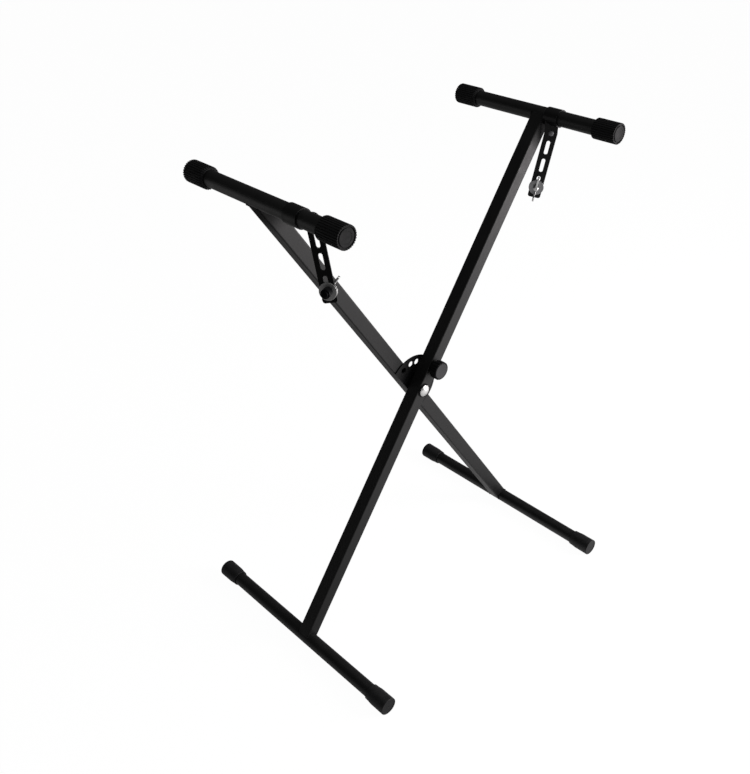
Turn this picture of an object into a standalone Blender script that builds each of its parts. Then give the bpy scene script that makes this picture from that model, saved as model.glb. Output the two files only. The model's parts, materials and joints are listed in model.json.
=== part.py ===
"""A single-braced X keyboard stand, modelled at its real size in metres, +Z up.

The origin is on the floor under the pivot. The legs cross in the XZ plane, the foot and arm tubes
run along Y, and -Y is the near side, which carries the pull knob. The front frame holds the leg
from the left foot to the right arm, and the rear frame holds the other one.
"""

from math import acos, asin, atan2, cos, hypot, pi, radians, sin

import bmesh
import bpy
from mathutils import Matrix, Vector

# Fits and clearances
SEAT_GAP = 0.0003            # between two pieces that touch or are welded
RUNNING_GAP = 0.0003         # around a shaft in its hole
THREAD_GAP = 0.0003          # around a bolt in its nut
SLOT_PLAY = 0.0005           # around a wing bolt in its slot
LOCK_PLAY = 0.00075          # around the lock pin in the plate
CHAMBER_PLAY = 0.0004        # around the lock pin's collar
KNOB_PLAY = 0.0006           # around the housing's flange, inside the knob
KNOB_HUB_PLAY = 0.0005       # between the housing's flange and the knob's hub

# Legs
LEG_LEAN = radians(55.51)    # from the floor up to a leg, as the stand is photographed
LEG_WIDTH = 0.025
LEG_WALL = 0.0015
LEG_CORNER = 0.0025
FOOT_REACH = 0.4958          # pivot to the foot tube's axis
ARM_REACH = 0.5073           # pivot to the arm tube's axis
LEG_SPACE = 0.004            # between the two legs

# Foot and arm tubes
TUBE_RADIUS = 0.0125
TUBE_WALL = 0.0015
FOOT_LENGTH = 0.4598         # over its caps
ARM_LENGTH = 0.3378          # over its caps

# Foot caps
FOOT_CAP_LENGTH = 0.043
FOOT_CAP_WALL = 0.0032       # at the closed end, which rests on the floor
FOOT_CAP_MOUTH_WALL = 0.0024
FOOT_CAP_RADIUS = TUBE_RADIUS + SEAT_GAP + FOOT_CAP_WALL
FOOT_CAP_MOUTH_RADIUS = TUBE_RADIUS + SEAT_GAP + FOOT_CAP_MOUTH_WALL
FOOT_CAP_END = 0.004         # end wall
FOOT_CAP_ROUND = 0.0012
FOOT_CAP_RIM = 0.0035
FOOT_CAP_RECESS_RADIUS = FOOT_CAP_RADIUS - FOOT_CAP_RIM
FOOT_CAP_RECESS = 0.0006

# Arm caps
ARM_CAP_LENGTH = 0.045
ARM_CAP_WALL = 0.0042
ARM_CAP_RADIUS = TUBE_RADIUS + SEAT_GAP + ARM_CAP_WALL
ARM_CAP_SHOULDER = 0.0025    # chamfer at the mouth
ARM_CAP_END = 0.005
ARM_CAP_ROUND = 0.001
ARM_CAP_RIM = 0.0025
ARM_CAP_GROOVE_WIDTH = 0.002
ARM_CAP_GROOVE = 0.0016      # depth
ARM_CAP_GROOVE_OUTER = ARM_CAP_RADIUS - ARM_CAP_RIM
ARM_CAP_GROOVE_INNER = ARM_CAP_GROOVE_OUTER - ARM_CAP_GROOVE_WIDTH

# Lock plate on the rear leg
PIN_RADIUS = 0.0045
LOCK_RADIUS = 0.0438         # pivot to the lock pin
LOCK_HOLE_RADIUS = PIN_RADIUS + LOCK_PLAY
PLATE_MARGIN = 0.00695       # plate beyond its holes
PLATE_RADIUS = LOCK_RADIUS + LOCK_HOLE_RADIUS + PLATE_MARGIN
PLATE_THICKNESS = 0.002
PHOTO_ANGLE = pi - 2 * LEG_LEAN
LOCK_ANGLES = [radians(4.2), radians(28.2), radians(46.5), PHOTO_ANGLE, radians(92.0)]   # between the legs

# Pivot bolt
PIVOT_RADIUS = 0.004
PIVOT_HEAD_RADIUS = 0.0103
PIVOT_HEAD_HEIGHT = 0.0046
PIVOT_NUT_RADIUS = 0.0075    # over its corners
PIVOT_NUT_HEIGHT = 0.0075
PIVOT_NUT_COLLAR = 0.0025    # the round end that grips the thread
PIVOT_THREAD_OUT = 0.0015    # bolt past its nut
HEAD_WASHER_RADIUS = 0.0124
HEAD_WASHER_THICKNESS = 0.0015
SPACER_RADIUS = 0.009
NUT_WASHER_RADIUS = 0.0088
NUT_WASHER_THICKNESS = 0.0016

# Lock: housing, pin, spring and knob
LOCK_TRAVEL = 0.005
HOUSING_FLANGE_RADIUS = 0.0118
HOUSING_FLANGE = 0.005
HOUSING_EDGE = 0.0006        # chamfer of the flange's near edge
HOUSING_WALL = 0.0008
HOUSING_END = 0.002          # wall that the spring pushes on
NOSE_GUIDE = 0.004
PIN_TIP_CHAMFER = 0.0012
PIN_COLLAR_STEP = 0.0013     # collar beyond the pin
PIN_COLLAR = 0.0025          # its length
PIN_COLLAR_RADIUS = PIN_RADIUS + PIN_COLLAR_STEP
CHAMBER_RADIUS = PIN_COLLAR_RADIUS + CHAMBER_PLAY
HOUSING_RADIUS = CHAMBER_RADIUS + HOUSING_WALL
STEM_RADIUS = 0.0025
SPRING_WIRE = 0.0005         # wire radius
SPRING_RADIUS = (STEM_RADIUS + CHAMBER_RADIUS) / 2       # to the middle of the wire
SPRING_TURNS = 7
KNOB_WALL = 0.0041
KNOB_FACE = 0.004
KNOB_ROUND = 0.0012
KNOB_HUB_WALL = 0.0032
KNOB_HUB = 0.0035
KNOB_STEM_SOCKET = 0.005
KNOB_RIM = 0.002             # round the disc
KNOB_CUP_RADIUS = HOUSING_FLANGE_RADIUS + KNOB_PLAY
KNOB_RADIUS = KNOB_CUP_RADIUS + KNOB_WALL
KNOB_HUB_RADIUS = STEM_RADIUS + SEAT_GAP + KNOB_HUB_WALL
KNOB_DEPTH = KNOB_FACE + KNOB_HUB + HOUSING_FLANGE + KNOB_HUB_PLAY
DISC_RADIUS = KNOB_RADIUS - KNOB_RIM
DISC_THICKNESS = 0.001
DISC_EDGE = 0.00025

# Collars on the arms
COLLAR_WALL = 0.0018
COLLAR_LENGTH = 0.028
COLLAR_BORE = TUBE_RADIUS + RUNNING_GAP
COLLAR_RADIUS = COLLAR_BORE + COLLAR_WALL
COLLAR_BESIDE_LEG = 0.0005   # right collar from the front leg
EAR_THICKNESS = 0.002
EAR_RADIUS = 0.011
LEFT_EAR_TOP = 0.0055        # half the left ear's width at its shelf
LEFT_SHELF_CLEAR = 0.0008    # shelf above the rivet's head
RIVET_RADIUS = 0.003
RIVET_HEAD_RADIUS = 0.0046
RIVET_HEAD = 0.0014

# Straps, measured along each strap from its rivet
STRAP_THICKNESS = 0.002
STRAP_HALF_WIDTH = 0.0109
STRAP_CORNER = 0.004
STRAP_TAIL = 0.0131          # beyond the last slot
WING_BOLT_RADIUS = 0.003
SLOT_WIDTH = 2 * (WING_BOLT_RADIUS + SLOT_PLAY)
SLOT_LENGTH = 0.0238
SLOT_GAP = 0.0076
FIRST_SLOT = 0.0137
LAST_SLOT = FIRST_SLOT + 2 * (SLOT_LENGTH + SLOT_GAP)
LOWEST_BOLT = 0.0984
LAST_SLOT_LENGTH = LOWEST_BOLT + WING_BOLT_RADIUS + SLOT_PLAY - LAST_SLOT
STRAP_END = LAST_SLOT + LAST_SLOT_LENGTH + STRAP_TAIL

# Wing bolts and what they clamp
WASHER_RADIUS = 0.0129
WASHER_THICKNESS = 0.0012
WING_BOLT_OUT = 0.001        # shank past its nut
WING_HUB_RADIUS = 0.0052
WING_HUB_TOP_RADIUS = 0.0042
WING_HUB_HEIGHT = 0.009
WING_THICKNESS = 0.0024
WING_ROOT = (0.0035, 0.0040, 0.0030)     # out from the bolt, up the bolt, radius
WING_TIP = (0.0178, 0.0090, 0.0044)
GRIP_NUT_RADIUS = 0.007
GRIP_NUT_HEIGHT = 0.012
GRIP_NUT_ROUND = 0.0012

# Roundness of turned pieces and of sheet outlines
FINE = 36
MEDIUM = 28
SMALL = 20
DOME_STEPS = 5
ROUND_STEPS = 2
SHEET_STEPS = 16            # half a circle
CORNER_STEPS = 4            # a quarter
SLOT_STEPS = 8              # a slot's end
SPRING_STEPS = 10           # points in one turn


class StrapPlace:
    """Where one collar and its strap hang, measured from the middle of the arm tube."""

    def __init__(self, side, collar_y, rivet, turn, lean, swing, bolt_at, wing_side, wing_turn):
        self.side = side                  # +1 right arm, -1 left arm
        self.collar_y = collar_y          # middle of the collar along the arm
        self.rivet = Vector(rivet) + Vector((0.0, collar_y, 0.0))     # rivet from the arm's middle
        self.turn = turn                  # of the strap's face about the vertical
        self.lean = lean                  # with the collar, about the arm
        self.swing = swing                # about the rivet
        self.bolt_at = bolt_at            # wing bolt from the rivet
        self.wing_side = wing_side        # +1: the wings stand on the face that looks at -X
        self.wing_turn = wing_turn        # wings about their bolt

    def name(self):
        return "right" if self.side > 0 else "left"

    def arm_axis(self):
        return Vector((self.side * arm_x(), 0.0, arm_z()))

    def rivet_point(self):
        return self.arm_axis() + self.rivet

    def ear_frame(self):
        turned_ear = Matrix.Rotation(self.turn, 4, "Z") @ Matrix.Rotation(self.side * self.lean, 4, "Y")
        return Matrix.Translation(self.rivet_point()) @ turned_ear

    def strap_frame(self):
        return self.ear_frame() @ Matrix.Rotation(self.swing, 4, "X")

    def bolt_frame(self):
        """+X runs along the bolt, from the strap out to its wings."""
        outwards = pi if self.wing_side > 0 else 0.0
        at_bolt = Matrix.Translation((0.0, 0.0, -self.bolt_at))
        return self.strap_frame() @ at_bolt @ Matrix.Rotation(outwards, 4, "Z")


def arm_x():
    return ARM_REACH * cos(LEG_LEAN)


def arm_z():
    return pivot_z() + ARM_REACH * sin(LEG_LEAN)


def foot_x():
    return FOOT_REACH * cos(LEG_LEAN)


def foot_z():
    return FOOT_CAP_RADIUS


def pivot_z():
    return foot_z() + FOOT_REACH * sin(LEG_LEAN)


# Places along Y, worked out from the pieces between the legs
FRONT_FAR = -LEG_SPACE / 2
FRONT_NEAR = FRONT_FAR - LEG_WIDTH
REAR_NEAR = LEG_SPACE / 2
REAR_FAR = REAR_NEAR + LEG_WIDTH
PLATE_FAR = REAR_NEAR - SEAT_GAP
PLATE_NEAR = PLATE_FAR - PLATE_THICKNESS
PIN_TIP = PLATE_NEAR - SEAT_GAP
HEAD_WASHER_NEAR = FRONT_NEAR - SEAT_GAP - HEAD_WASHER_THICKNESS
HEAD_SEAT = HEAD_WASHER_NEAR - SEAT_GAP
NUT_WASHER_NEAR = REAR_FAR + SEAT_GAP
NUT_NEAR = NUT_WASHER_NEAR + NUT_WASHER_THICKNESS + SEAT_GAP
FLANGE_FAR = FRONT_NEAR - SEAT_GAP
FLANGE_NEAR = FLANGE_FAR - HOUSING_FLANGE
HOUSING_FAR = FRONT_FAR - SEAT_GAP
CHAMBER_NEAR = FLANGE_NEAR + HOUSING_END
CHAMBER_FAR = HOUSING_FAR - NOSE_GUIDE
COLLAR_FAR = CHAMBER_FAR - SEAT_GAP - LOCK_TRAVEL
COLLAR_NEAR = COLLAR_FAR - PIN_COLLAR
KNOB_MOUTH = FRONT_NEAR - LOCK_TRAVEL - 2 * SEAT_GAP
KNOB_NEAR = KNOB_MOUTH - KNOB_DEPTH
KNOB_CUP_END = KNOB_NEAR + KNOB_FACE
HUB_END = KNOB_CUP_END + KNOB_HUB
STEM_END = HUB_END - KNOB_STEM_SOCKET + SEAT_GAP

RIGHT = StrapPlace(
    side=1, collar_y=FRONT_NEAR - COLLAR_BESIDE_LEG - COLLAR_LENGTH / 2,
    rivet=(-0.0053, 0.0007, -COLLAR_RADIUS - 0.0107), turn=radians(34.8),
    lean=radians(1.4), swing=radians(10.1), bolt_at=0.0964, wing_side=1, wing_turn=0.0)
LEFT = StrapPlace(
    side=-1, collar_y=-0.0705, rivet=(COLLAR_RADIUS + 0.01, -0.0024, -0.0121), turn=radians(31.5),
    lean=radians(-8.1), swing=radians(-12.8), bolt_at=LOWEST_BOLT, wing_side=-1, wing_turn=radians(45.0))


def clear_scene():
    for old in list(bpy.data.objects):
        bpy.data.objects.remove(old, do_unlink=True)


def new_collection(name):
    made = bpy.data.collections.new(name)
    bpy.context.scene.collection.children.link(made)
    return made


clear_scene()
PARTS = new_collection("keyboard_stand")
CUTTERS = new_collection("cutters")


def move_to(obj, collection):
    for held_by in list(obj.users_collection):
        held_by.objects.unlink(obj)
    collection.objects.link(obj)
    return obj


def finish(obj, colour, roughness, metallic=0.0):
    """Give a piece its own material and put it with the parts."""
    material = bpy.data.materials.new(obj.name)
    material.use_nodes = True
    shader = material.node_tree.nodes["Principled BSDF"]
    shader.inputs["Base Color"].default_value = (*colour, 1.0)
    shader.inputs["Roughness"].default_value = roughness
    shader.inputs["Metallic"].default_value = metallic
    material.diffuse_color = (*colour, 1.0)
    obj.data.materials.clear()
    obj.data.materials.append(material)
    return move_to(obj, PARTS)


BLACK_PAINT = dict(colour=(0.018, 0.018, 0.020), roughness=0.42, metallic=0.15)
BLACK_PLASTIC = dict(colour=(0.022, 0.022, 0.023), roughness=0.55)
BLACK_RUBBER = dict(colour=(0.014, 0.014, 0.015), roughness=0.75)
GREY_PLASTIC = dict(colour=(0.10, 0.10, 0.105), roughness=0.5)
WHITE_NYLON = dict(colour=(0.75, 0.75, 0.72), roughness=0.45)
BRIGHT_ZINC = dict(colour=(0.80, 0.80, 0.80), roughness=0.22, metallic=1.0)
DULL_STEEL = dict(colour=(0.42, 0.42, 0.43), roughness=0.38, metallic=1.0)


def active_as(name):
    obj = bpy.context.active_object
    obj.name = name
    obj.data.name = name
    return obj


def smooth(obj, angle=radians(30.0)):
    obj.data.shade_smooth()
    obj.data.set_sharp_from_angle(angle=angle)
    return obj


def rod(name, radius, length, centre, rotation=(pi / 2, 0.0, 0.0), sides=MEDIUM):
    """A cylinder, along Y unless it is turned otherwise."""
    bpy.ops.mesh.primitive_cylinder_add(
        vertices=sides, radius=radius, depth=length, location=centre, rotation=rotation)
    return smooth(active_as(name))


def rod_along_y(name, radius, near, far, x, z, sides=MEDIUM):
    return rod(name, radius, far - near, (x, (near + far) / 2, z), sides=sides)


def arc(centre, radius, start, end, steps):
    """Points of an arc, from one angle to the other, in order."""
    angles = [start + (end - start) * i / steps for i in range(steps + 1)]
    return [(centre[0] + radius * cos(a), centre[1] + radius * sin(a)) for a in angles]


def ring_points(centre, radius, sides=SMALL):
    return arc(centre, radius, 0.0, 2 * pi * (sides - 1) / sides, sides - 1)


def rounded_box_points(width, height, corner, steps=CORNER_STEPS):
    right, top = width / 2 - corner, height / 2 - corner
    corners = [(right, top), (-right, top), (-right, -top), (right, -top)]
    points = []
    for quarter, centre in enumerate(corners):
        points += arc(centre, corner, quarter * pi / 2, (quarter + 1) * pi / 2, steps)
    return points


def slot_points(centre, width, length, steps=SLOT_STEPS):
    """A slot with round ends, its length along the outline's second axis."""
    half = (length - width) / 2
    top = arc((centre[0], centre[1] + half), width / 2, 0.0, pi, steps)
    bottom = arc((centre[0], centre[1] - half), width / 2, pi, 2 * pi, steps)
    return top + bottom


def drop_points(root, tip, steps=SLOT_STEPS):
    """The outline round two circles, each given as across, up and radius."""
    across, up = tip[0] - root[0], tip[1] - root[1]
    heading = atan2(up, across)
    open_angle = acos((root[2] - tip[2]) / hypot(across, up))
    around_tip = arc(tip[:2], tip[2], heading - open_angle, heading + open_angle, steps)
    back = arc(root[:2], root[2], heading + open_angle, heading - open_angle + 2 * pi, steps)
    return around_tip + back


def sheet(name, outlines, thickness):
    """A flat piece from closed outlines in XY, the later ones being holes, as a mesh."""
    data = bpy.data.curves.new(name, "CURVE")
    data.dimensions = "2D"
    data.fill_mode = "BOTH"
    data.extrude = thickness / 2
    for outline in outlines:
        spline = data.splines.new("POLY")
        spline.points.add(len(outline) - 1)
        for point, (x, y) in zip(spline.points, outline):
            point.co = (x, y, 0.0, 1.0)
        spline.use_cyclic_u = True
    curve = bpy.data.objects.new(name, data)
    PARTS.objects.link(curve)
    return mesh_from(curve)


def mesh_from(curve):
    """Turn a curve object into a closed mesh object at the same place."""
    bpy.context.view_layer.update()
    seen = curve.evaluated_get(bpy.context.evaluated_depsgraph_get())
    mesh = bpy.data.meshes.new_from_object(seen)
    weld(mesh)
    place = curve.matrix_world.copy()
    name = curve.name
    bpy.data.objects.remove(curve, do_unlink=True)
    made = bpy.data.objects.new(name, mesh)
    made.matrix_world = place
    PARTS.objects.link(made)
    return smooth(made)


def weld(mesh, distance=0.00001):
    work = bmesh.new()
    work.from_mesh(mesh)
    bmesh.ops.remove_doubles(work, verts=work.verts, dist=distance)
    bmesh.ops.recalc_face_normals(work, faces=work.faces)
    work.to_mesh(mesh)
    work.free()


def turned(name, profile, closed=False, sides=MEDIUM):
    """Turn a profile of (radius, height) points about Z. Its outer side runs down."""
    mesh = bpy.data.meshes.new(name)
    points = [(radius, 0.0, height) for radius, height in profile]
    edges = [(i, i + 1) for i in range(len(points) - 1)]
    if closed:
        edges.append((len(points) - 1, 0))
    mesh.from_pydata(points, edges, [])
    made = bpy.data.objects.new(name, mesh)
    PARTS.objects.link(made)
    screw = made.modifiers.new("turn", "SCREW")
    screw.steps = sides
    screw.render_steps = sides
    screw.use_merge_vertices = True
    screw.merge_threshold = 0.00001
    screw.use_smooth_shade = True
    merge = made.modifiers.new("merge", "WELD")
    merge.merge_threshold = 0.00001
    return made


def apply_modifiers(obj):
    """Settle a piece's modifiers into its mesh, so that cuts act on plain geometry."""
    bpy.context.view_layer.update()
    seen = obj.evaluated_get(bpy.context.evaluated_depsgraph_get())
    mesh = bpy.data.meshes.new_from_object(seen)
    obj.modifiers.clear()
    obj.data = mesh
    return smooth(obj)


def washer(name, outer, inner, thickness, place, sides=MEDIUM):
    """A flat ring whose near face starts at its place and which runs along local +Z."""
    ring = turned(name, [(outer, thickness), (outer, 0.0), (inner, 0.0), (inner, thickness)],
                  closed=True, sides=sides)
    ring.matrix_world = place
    return ring


def combine(target, other, operation):
    """Cut or join with another piece, which becomes a hidden guide."""
    move_to(other, CUTTERS)
    other.hide_render = True
    other.hide_set(True)
    other.display_type = "WIRE"
    step = target.modifiers.new(operation.lower(), "BOOLEAN")
    step.operation = operation
    step.solver = "EXACT"
    step.object = other
    return target


def cut(target, *others):
    for other in others:
        combine(target, other, "DIFFERENCE")
    return target


def join(target, *others):
    for other in others:
        combine(target, other, "UNION")
    return target


def away_from(near, x=0.0, z=0.0):
    """Local +Z runs along world +Y, from a place on the near side."""
    return Matrix.Translation((x, near, z)) @ Matrix.Rotation(-pi / 2, 4, "X")


def towards_near(far, x=0.0, z=0.0):
    """Local +Z runs along world -Y, from a place on the far side."""
    return Matrix.Translation((x, far, z)) @ Matrix.Rotation(pi / 2, 4, "X")


def across_strap():
    """Turn a sheet drawn in XY so that its first axis is the strap's width and its second its length."""
    return Matrix(((0, 0, 1, 0), (1, 0, 0, 0), (0, 1, 0, 0), (0, 0, 0, 1)))


def along_x(start):
    """Local +Z runs along the holder's +X, from a start on it."""
    return Matrix.Translation((start, 0.0, 0.0)) @ Matrix.Rotation(pi / 2, 4, "Y")


def leg_direction(leg):
    """Up a leg: +1 for the front leg, which rises to the right, -1 for the rear one."""
    return Vector((leg * cos(LEG_LEAN), 0.0, sin(LEG_LEAN)))


def leg_point(leg, distance, y=0.0):
    return Vector((0.0, y, pivot_z())) + leg_direction(leg) * distance


def leg_tube(name, leg, y):
    """A square tube between the two round tubes, its ends coped to them."""
    walls = [rounded_box_points(LEG_WIDTH, LEG_WIDTH, LEG_CORNER),
             rounded_box_points(LEG_WIDTH - 2 * LEG_WALL, LEG_WIDTH - 2 * LEG_WALL, LEG_CORNER - LEG_WALL)]
    tube = sheet(name, walls, FOOT_REACH + ARM_REACH)
    tilt = Matrix.Rotation(leg * (pi / 2 - LEG_LEAN), 4, "Y")
    middle = leg_point(leg, (ARM_REACH - FOOT_REACH) / 2, y)
    tube.matrix_world = Matrix.Translation(middle) @ tilt
    for end, reach in (("foot", -FOOT_REACH), ("arm", ARM_REACH)):
        at = leg_point(leg, reach, y)
        cope = rod(f"{name}_{end}_cope", TUBE_RADIUS + SEAT_GAP, LEG_WIDTH * 2, at, sides=FINE * 2)
        cut(tube, cope)
    hole = rod(f"{name}_pivot_hole", PIVOT_RADIUS + RUNNING_GAP, LEG_WIDTH * 2, (0.0, y, pivot_z()),
               sides=SMALL)
    return cut(tube, hole)


def lock_point(leg, angle=0.0):
    """A place at the lock's radius, on a leg's upper half or turned from it towards +X."""
    toward = atan2(sin(LEG_LEAN), leg * cos(LEG_LEAN)) - angle
    return Vector((LOCK_RADIUS * cos(toward), 0.0, pivot_z() + LOCK_RADIUS * sin(toward)))


def front_leg():
    leg = leg_tube("front_leg", 1, (FRONT_NEAR + FRONT_FAR) / 2)
    at = lock_point(1)
    hole = rod("front_leg_lock_hole", HOUSING_RADIUS + RUNNING_GAP, LEG_WIDTH * 2, (at.x, FRONT_NEAR, at.z),
               sides=SMALL)
    far_hole = rod("front_leg_lock_far_hole", HOUSING_RADIUS + RUNNING_GAP, LEG_WIDTH,
                   (at.x, FRONT_FAR, at.z), sides=SMALL)
    return finish(cut(leg, hole, far_hole), **BLACK_PAINT)


def rear_leg():
    """Its near wall has the hole that the pin enters when the stand is folded shut."""
    leg = leg_tube("rear_leg", -1, (REAR_NEAR + REAR_FAR) / 2)
    at = lock_point(-1, LOCK_ANGLES[0])
    depth = LEG_WALL * 4
    hole = rod("rear_leg_lock_hole", LOCK_HOLE_RADIUS, depth, (at.x, REAR_NEAR, at.z), sides=SMALL)
    return finish(cut(leg, hole), **BLACK_PAINT)


def round_tube(name, length, cap_end, x, z):
    """A round tube along Y that stops just short of its caps' end walls."""
    half = length / 2 - cap_end - SEAT_GAP
    inner = TUBE_RADIUS - TUBE_WALL
    profile = [(TUBE_RADIUS, 2 * half), (TUBE_RADIUS, 0.0), (inner, 0.0), (inner, 2 * half)]
    tube = turned(name, profile, closed=True, sides=FINE)
    tube.matrix_world = away_from(-half, x, z)
    return finish(tube, **BLACK_PAINT)


def foot_cap_profile():
    bore = TUBE_RADIUS + SEAT_GAP
    rounding = arc((FOOT_CAP_RADIUS - FOOT_CAP_ROUND, FOOT_CAP_LENGTH - FOOT_CAP_ROUND),
                   FOOT_CAP_ROUND, pi / 2, 0.0, ROUND_STEPS)
    recess = [(0.0, FOOT_CAP_LENGTH - FOOT_CAP_RECESS),
              (FOOT_CAP_RECESS_RADIUS, FOOT_CAP_LENGTH - FOOT_CAP_RECESS),
              (FOOT_CAP_RECESS_RADIUS + FOOT_CAP_RECESS, FOOT_CAP_LENGTH)]
    depth = FOOT_CAP_LENGTH - FOOT_CAP_END
    mouth = [(FOOT_CAP_MOUTH_RADIUS, SEAT_GAP), (FOOT_CAP_MOUTH_RADIUS - SEAT_GAP, 0.0)]
    return recess + rounding + mouth + [(bore, 0.0), (bore, depth), (0.0, depth)]


def arm_cap_profile():
    bore = TUBE_RADIUS + SEAT_GAP
    top = ARM_CAP_LENGTH
    groove = [(0.0, top), (ARM_CAP_GROOVE_INNER, top), (ARM_CAP_GROOVE_INNER, top - ARM_CAP_GROOVE),
              (ARM_CAP_GROOVE_OUTER, top - ARM_CAP_GROOVE), (ARM_CAP_GROOVE_OUTER, top)]
    rounding = arc((ARM_CAP_RADIUS - ARM_CAP_ROUND, top - ARM_CAP_ROUND),
                   ARM_CAP_ROUND, pi / 2, 0.0, ROUND_STEPS)
    mouth = [(ARM_CAP_RADIUS, ARM_CAP_SHOULDER), (ARM_CAP_RADIUS - ARM_CAP_SHOULDER, 0.0)]
    depth = top - ARM_CAP_END
    return groove + rounding + mouth + [(bore, 0.0), (bore, depth), (0.0, depth)]


def caps(kind, side, profile, length, cap_length, x, z, look):
    """The near and the far cap of one tube, with their closed ends outwards."""
    for where, sign in (("near", -1), ("far", 1)):
        cap = turned(f"{side}_{kind}_cap_{where}", profile)
        mouth = sign * (length / 2 - cap_length)
        cap.matrix_world = towards_near(mouth, x, z) if sign < 0 else away_from(mouth, x, z)
        finish(cap, **look)


def feet_and_arms():
    for side, sign in (("left", -1), ("right", 1)):
        round_tube(f"{side}_foot_tube", FOOT_LENGTH, FOOT_CAP_END, sign * foot_x(), foot_z())
        round_tube(f"{side}_arm_tube", ARM_LENGTH, ARM_CAP_END, sign * arm_x(), arm_z())
        caps("foot", side, foot_cap_profile(), FOOT_LENGTH, FOOT_CAP_LENGTH, sign * foot_x(), foot_z(),
             BLACK_PLASTIC)
        caps("arm", side, arm_cap_profile(), ARM_LENGTH, ARM_CAP_LENGTH, sign * arm_x(), arm_z(),
             BLACK_RUBBER)


def lock_plate():
    """A half disc whose straight side lies along the rear leg's lower left edge."""
    up_leg = pi - LEG_LEAN
    past = asin(LEG_WIDTH / 2 / PLATE_RADIUS)
    outline = arc((0.0, 0.0), PLATE_RADIUS, up_leg - pi - past, up_leg + past, FINE)
    holes = [ring_points((0.0, 0.0), PIVOT_RADIUS + RUNNING_GAP)]
    for angle in LOCK_ANGLES:
        at = lock_point(-1, angle)
        holes.append(ring_points((at.x, at.z - pivot_z()), LOCK_HOLE_RADIUS))
    plate = sheet("lock_plate", [outline] + holes, PLATE_THICKNESS)
    upright = Matrix.Rotation(pi / 2, 4, "X")
    plate.matrix_world = Matrix.Translation((0.0, (PLATE_NEAR + PLATE_FAR) / 2, pivot_z())) @ upright
    return finish(plate, **BLACK_PAINT)


def pivot_bolt():
    """A bolt with a domed head on the near side. Local +Z runs from its head to its tip."""
    tip = NUT_NEAR + PIVOT_NUT_HEIGHT + PIVOT_THREAD_OUT
    length = tip - HEAD_SEAT
    rise, half = PIVOT_HEAD_HEIGHT, PIVOT_HEAD_RADIUS
    dome_radius = (half * half + rise * rise) / (2 * rise)
    spread = asin(half / dome_radius)
    dome = [(dome_radius * sin(a), dome_radius - rise - dome_radius * cos(a))
            for a in (spread * i / DOME_STEPS for i in range(DOME_STEPS + 1))]
    shank = [(PIVOT_RADIUS, 0.0), (PIVOT_RADIUS, length - SEAT_GAP), (PIVOT_RADIUS - SEAT_GAP, length)]
    profile = [(0.0, length)] + shank[::-1] + dome[::-1]
    bolt = turned("pivot_bolt", profile)
    bolt.matrix_world = away_from(HEAD_SEAT, 0.0, pivot_z())
    return finish(bolt, **BRIGHT_ZINC)


def pivot_washers():
    hole = PIVOT_RADIUS + RUNNING_GAP
    z = pivot_z()
    head = washer("pivot_head_washer", HEAD_WASHER_RADIUS, hole, HEAD_WASHER_THICKNESS,
                  away_from(HEAD_WASHER_NEAR, 0.0, z))
    finish(head, **BLACK_PLASTIC)
    near = FRONT_FAR + SEAT_GAP
    spacer = washer("pivot_spacer", SPACER_RADIUS, hole, PLATE_NEAR - SEAT_GAP - near,
                    away_from(near, 0.0, z))
    finish(spacer, **WHITE_NYLON)
    back = washer("pivot_washer", NUT_WASHER_RADIUS, hole, NUT_WASHER_THICKNESS,
                  away_from(NUT_WASHER_NEAR, 0.0, z))
    finish(back, **BRIGHT_ZINC)


def pivot_nut():
    """A hexagon nut with a round end."""
    hexagon = PIVOT_NUT_HEIGHT - PIVOT_NUT_COLLAR
    nut = rod_along_y("pivot_nut", PIVOT_NUT_RADIUS, NUT_NEAR, NUT_NEAR + hexagon, 0.0, pivot_z(), sides=6)
    flats = PIVOT_NUT_RADIUS * cos(pi / 6)
    top = rod_along_y("pivot_nut_collar", flats - SEAT_GAP, NUT_NEAR + hexagon / 2,
                      NUT_NEAR + PIVOT_NUT_HEIGHT, 0.0, pivot_z(), sides=SMALL)
    bore = rod_along_y("pivot_nut_bore", PIVOT_RADIUS + THREAD_GAP, NUT_NEAR - LEG_WALL,
                       NUT_NEAR + PIVOT_NUT_HEIGHT + LEG_WALL, 0.0, pivot_z(), sides=SMALL)
    join(nut, top)
    return finish(cut(nut, bore), **BRIGHT_ZINC)


def lock_housing():
    """A flanged sleeve through the front leg, hollow for the spring and the pin."""
    at = lock_point(1)
    length = HOUSING_FAR - FLANGE_NEAR
    stem_hole = STEM_RADIUS + RUNNING_GAP
    nose_hole = PIN_RADIUS + RUNNING_GAP
    outer = [(HOUSING_RADIUS, length), (HOUSING_RADIUS, HOUSING_FLANGE),
             (HOUSING_FLANGE_RADIUS, HOUSING_FLANGE), (HOUSING_FLANGE_RADIUS, HOUSING_EDGE),
             (HOUSING_FLANGE_RADIUS - HOUSING_EDGE, 0.0)]
    inner = [(stem_hole, 0.0), (stem_hole, HOUSING_END), (CHAMBER_RADIUS, HOUSING_END),
             (CHAMBER_RADIUS, length - NOSE_GUIDE), (nose_hole, length - NOSE_GUIDE), (nose_hole, length)]
    housing = turned("lock_housing", outer + inner, closed=True)
    housing.matrix_world = away_from(FLANGE_NEAR, at.x, at.z)
    return finish(housing, **BLACK_PLASTIC)


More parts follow.
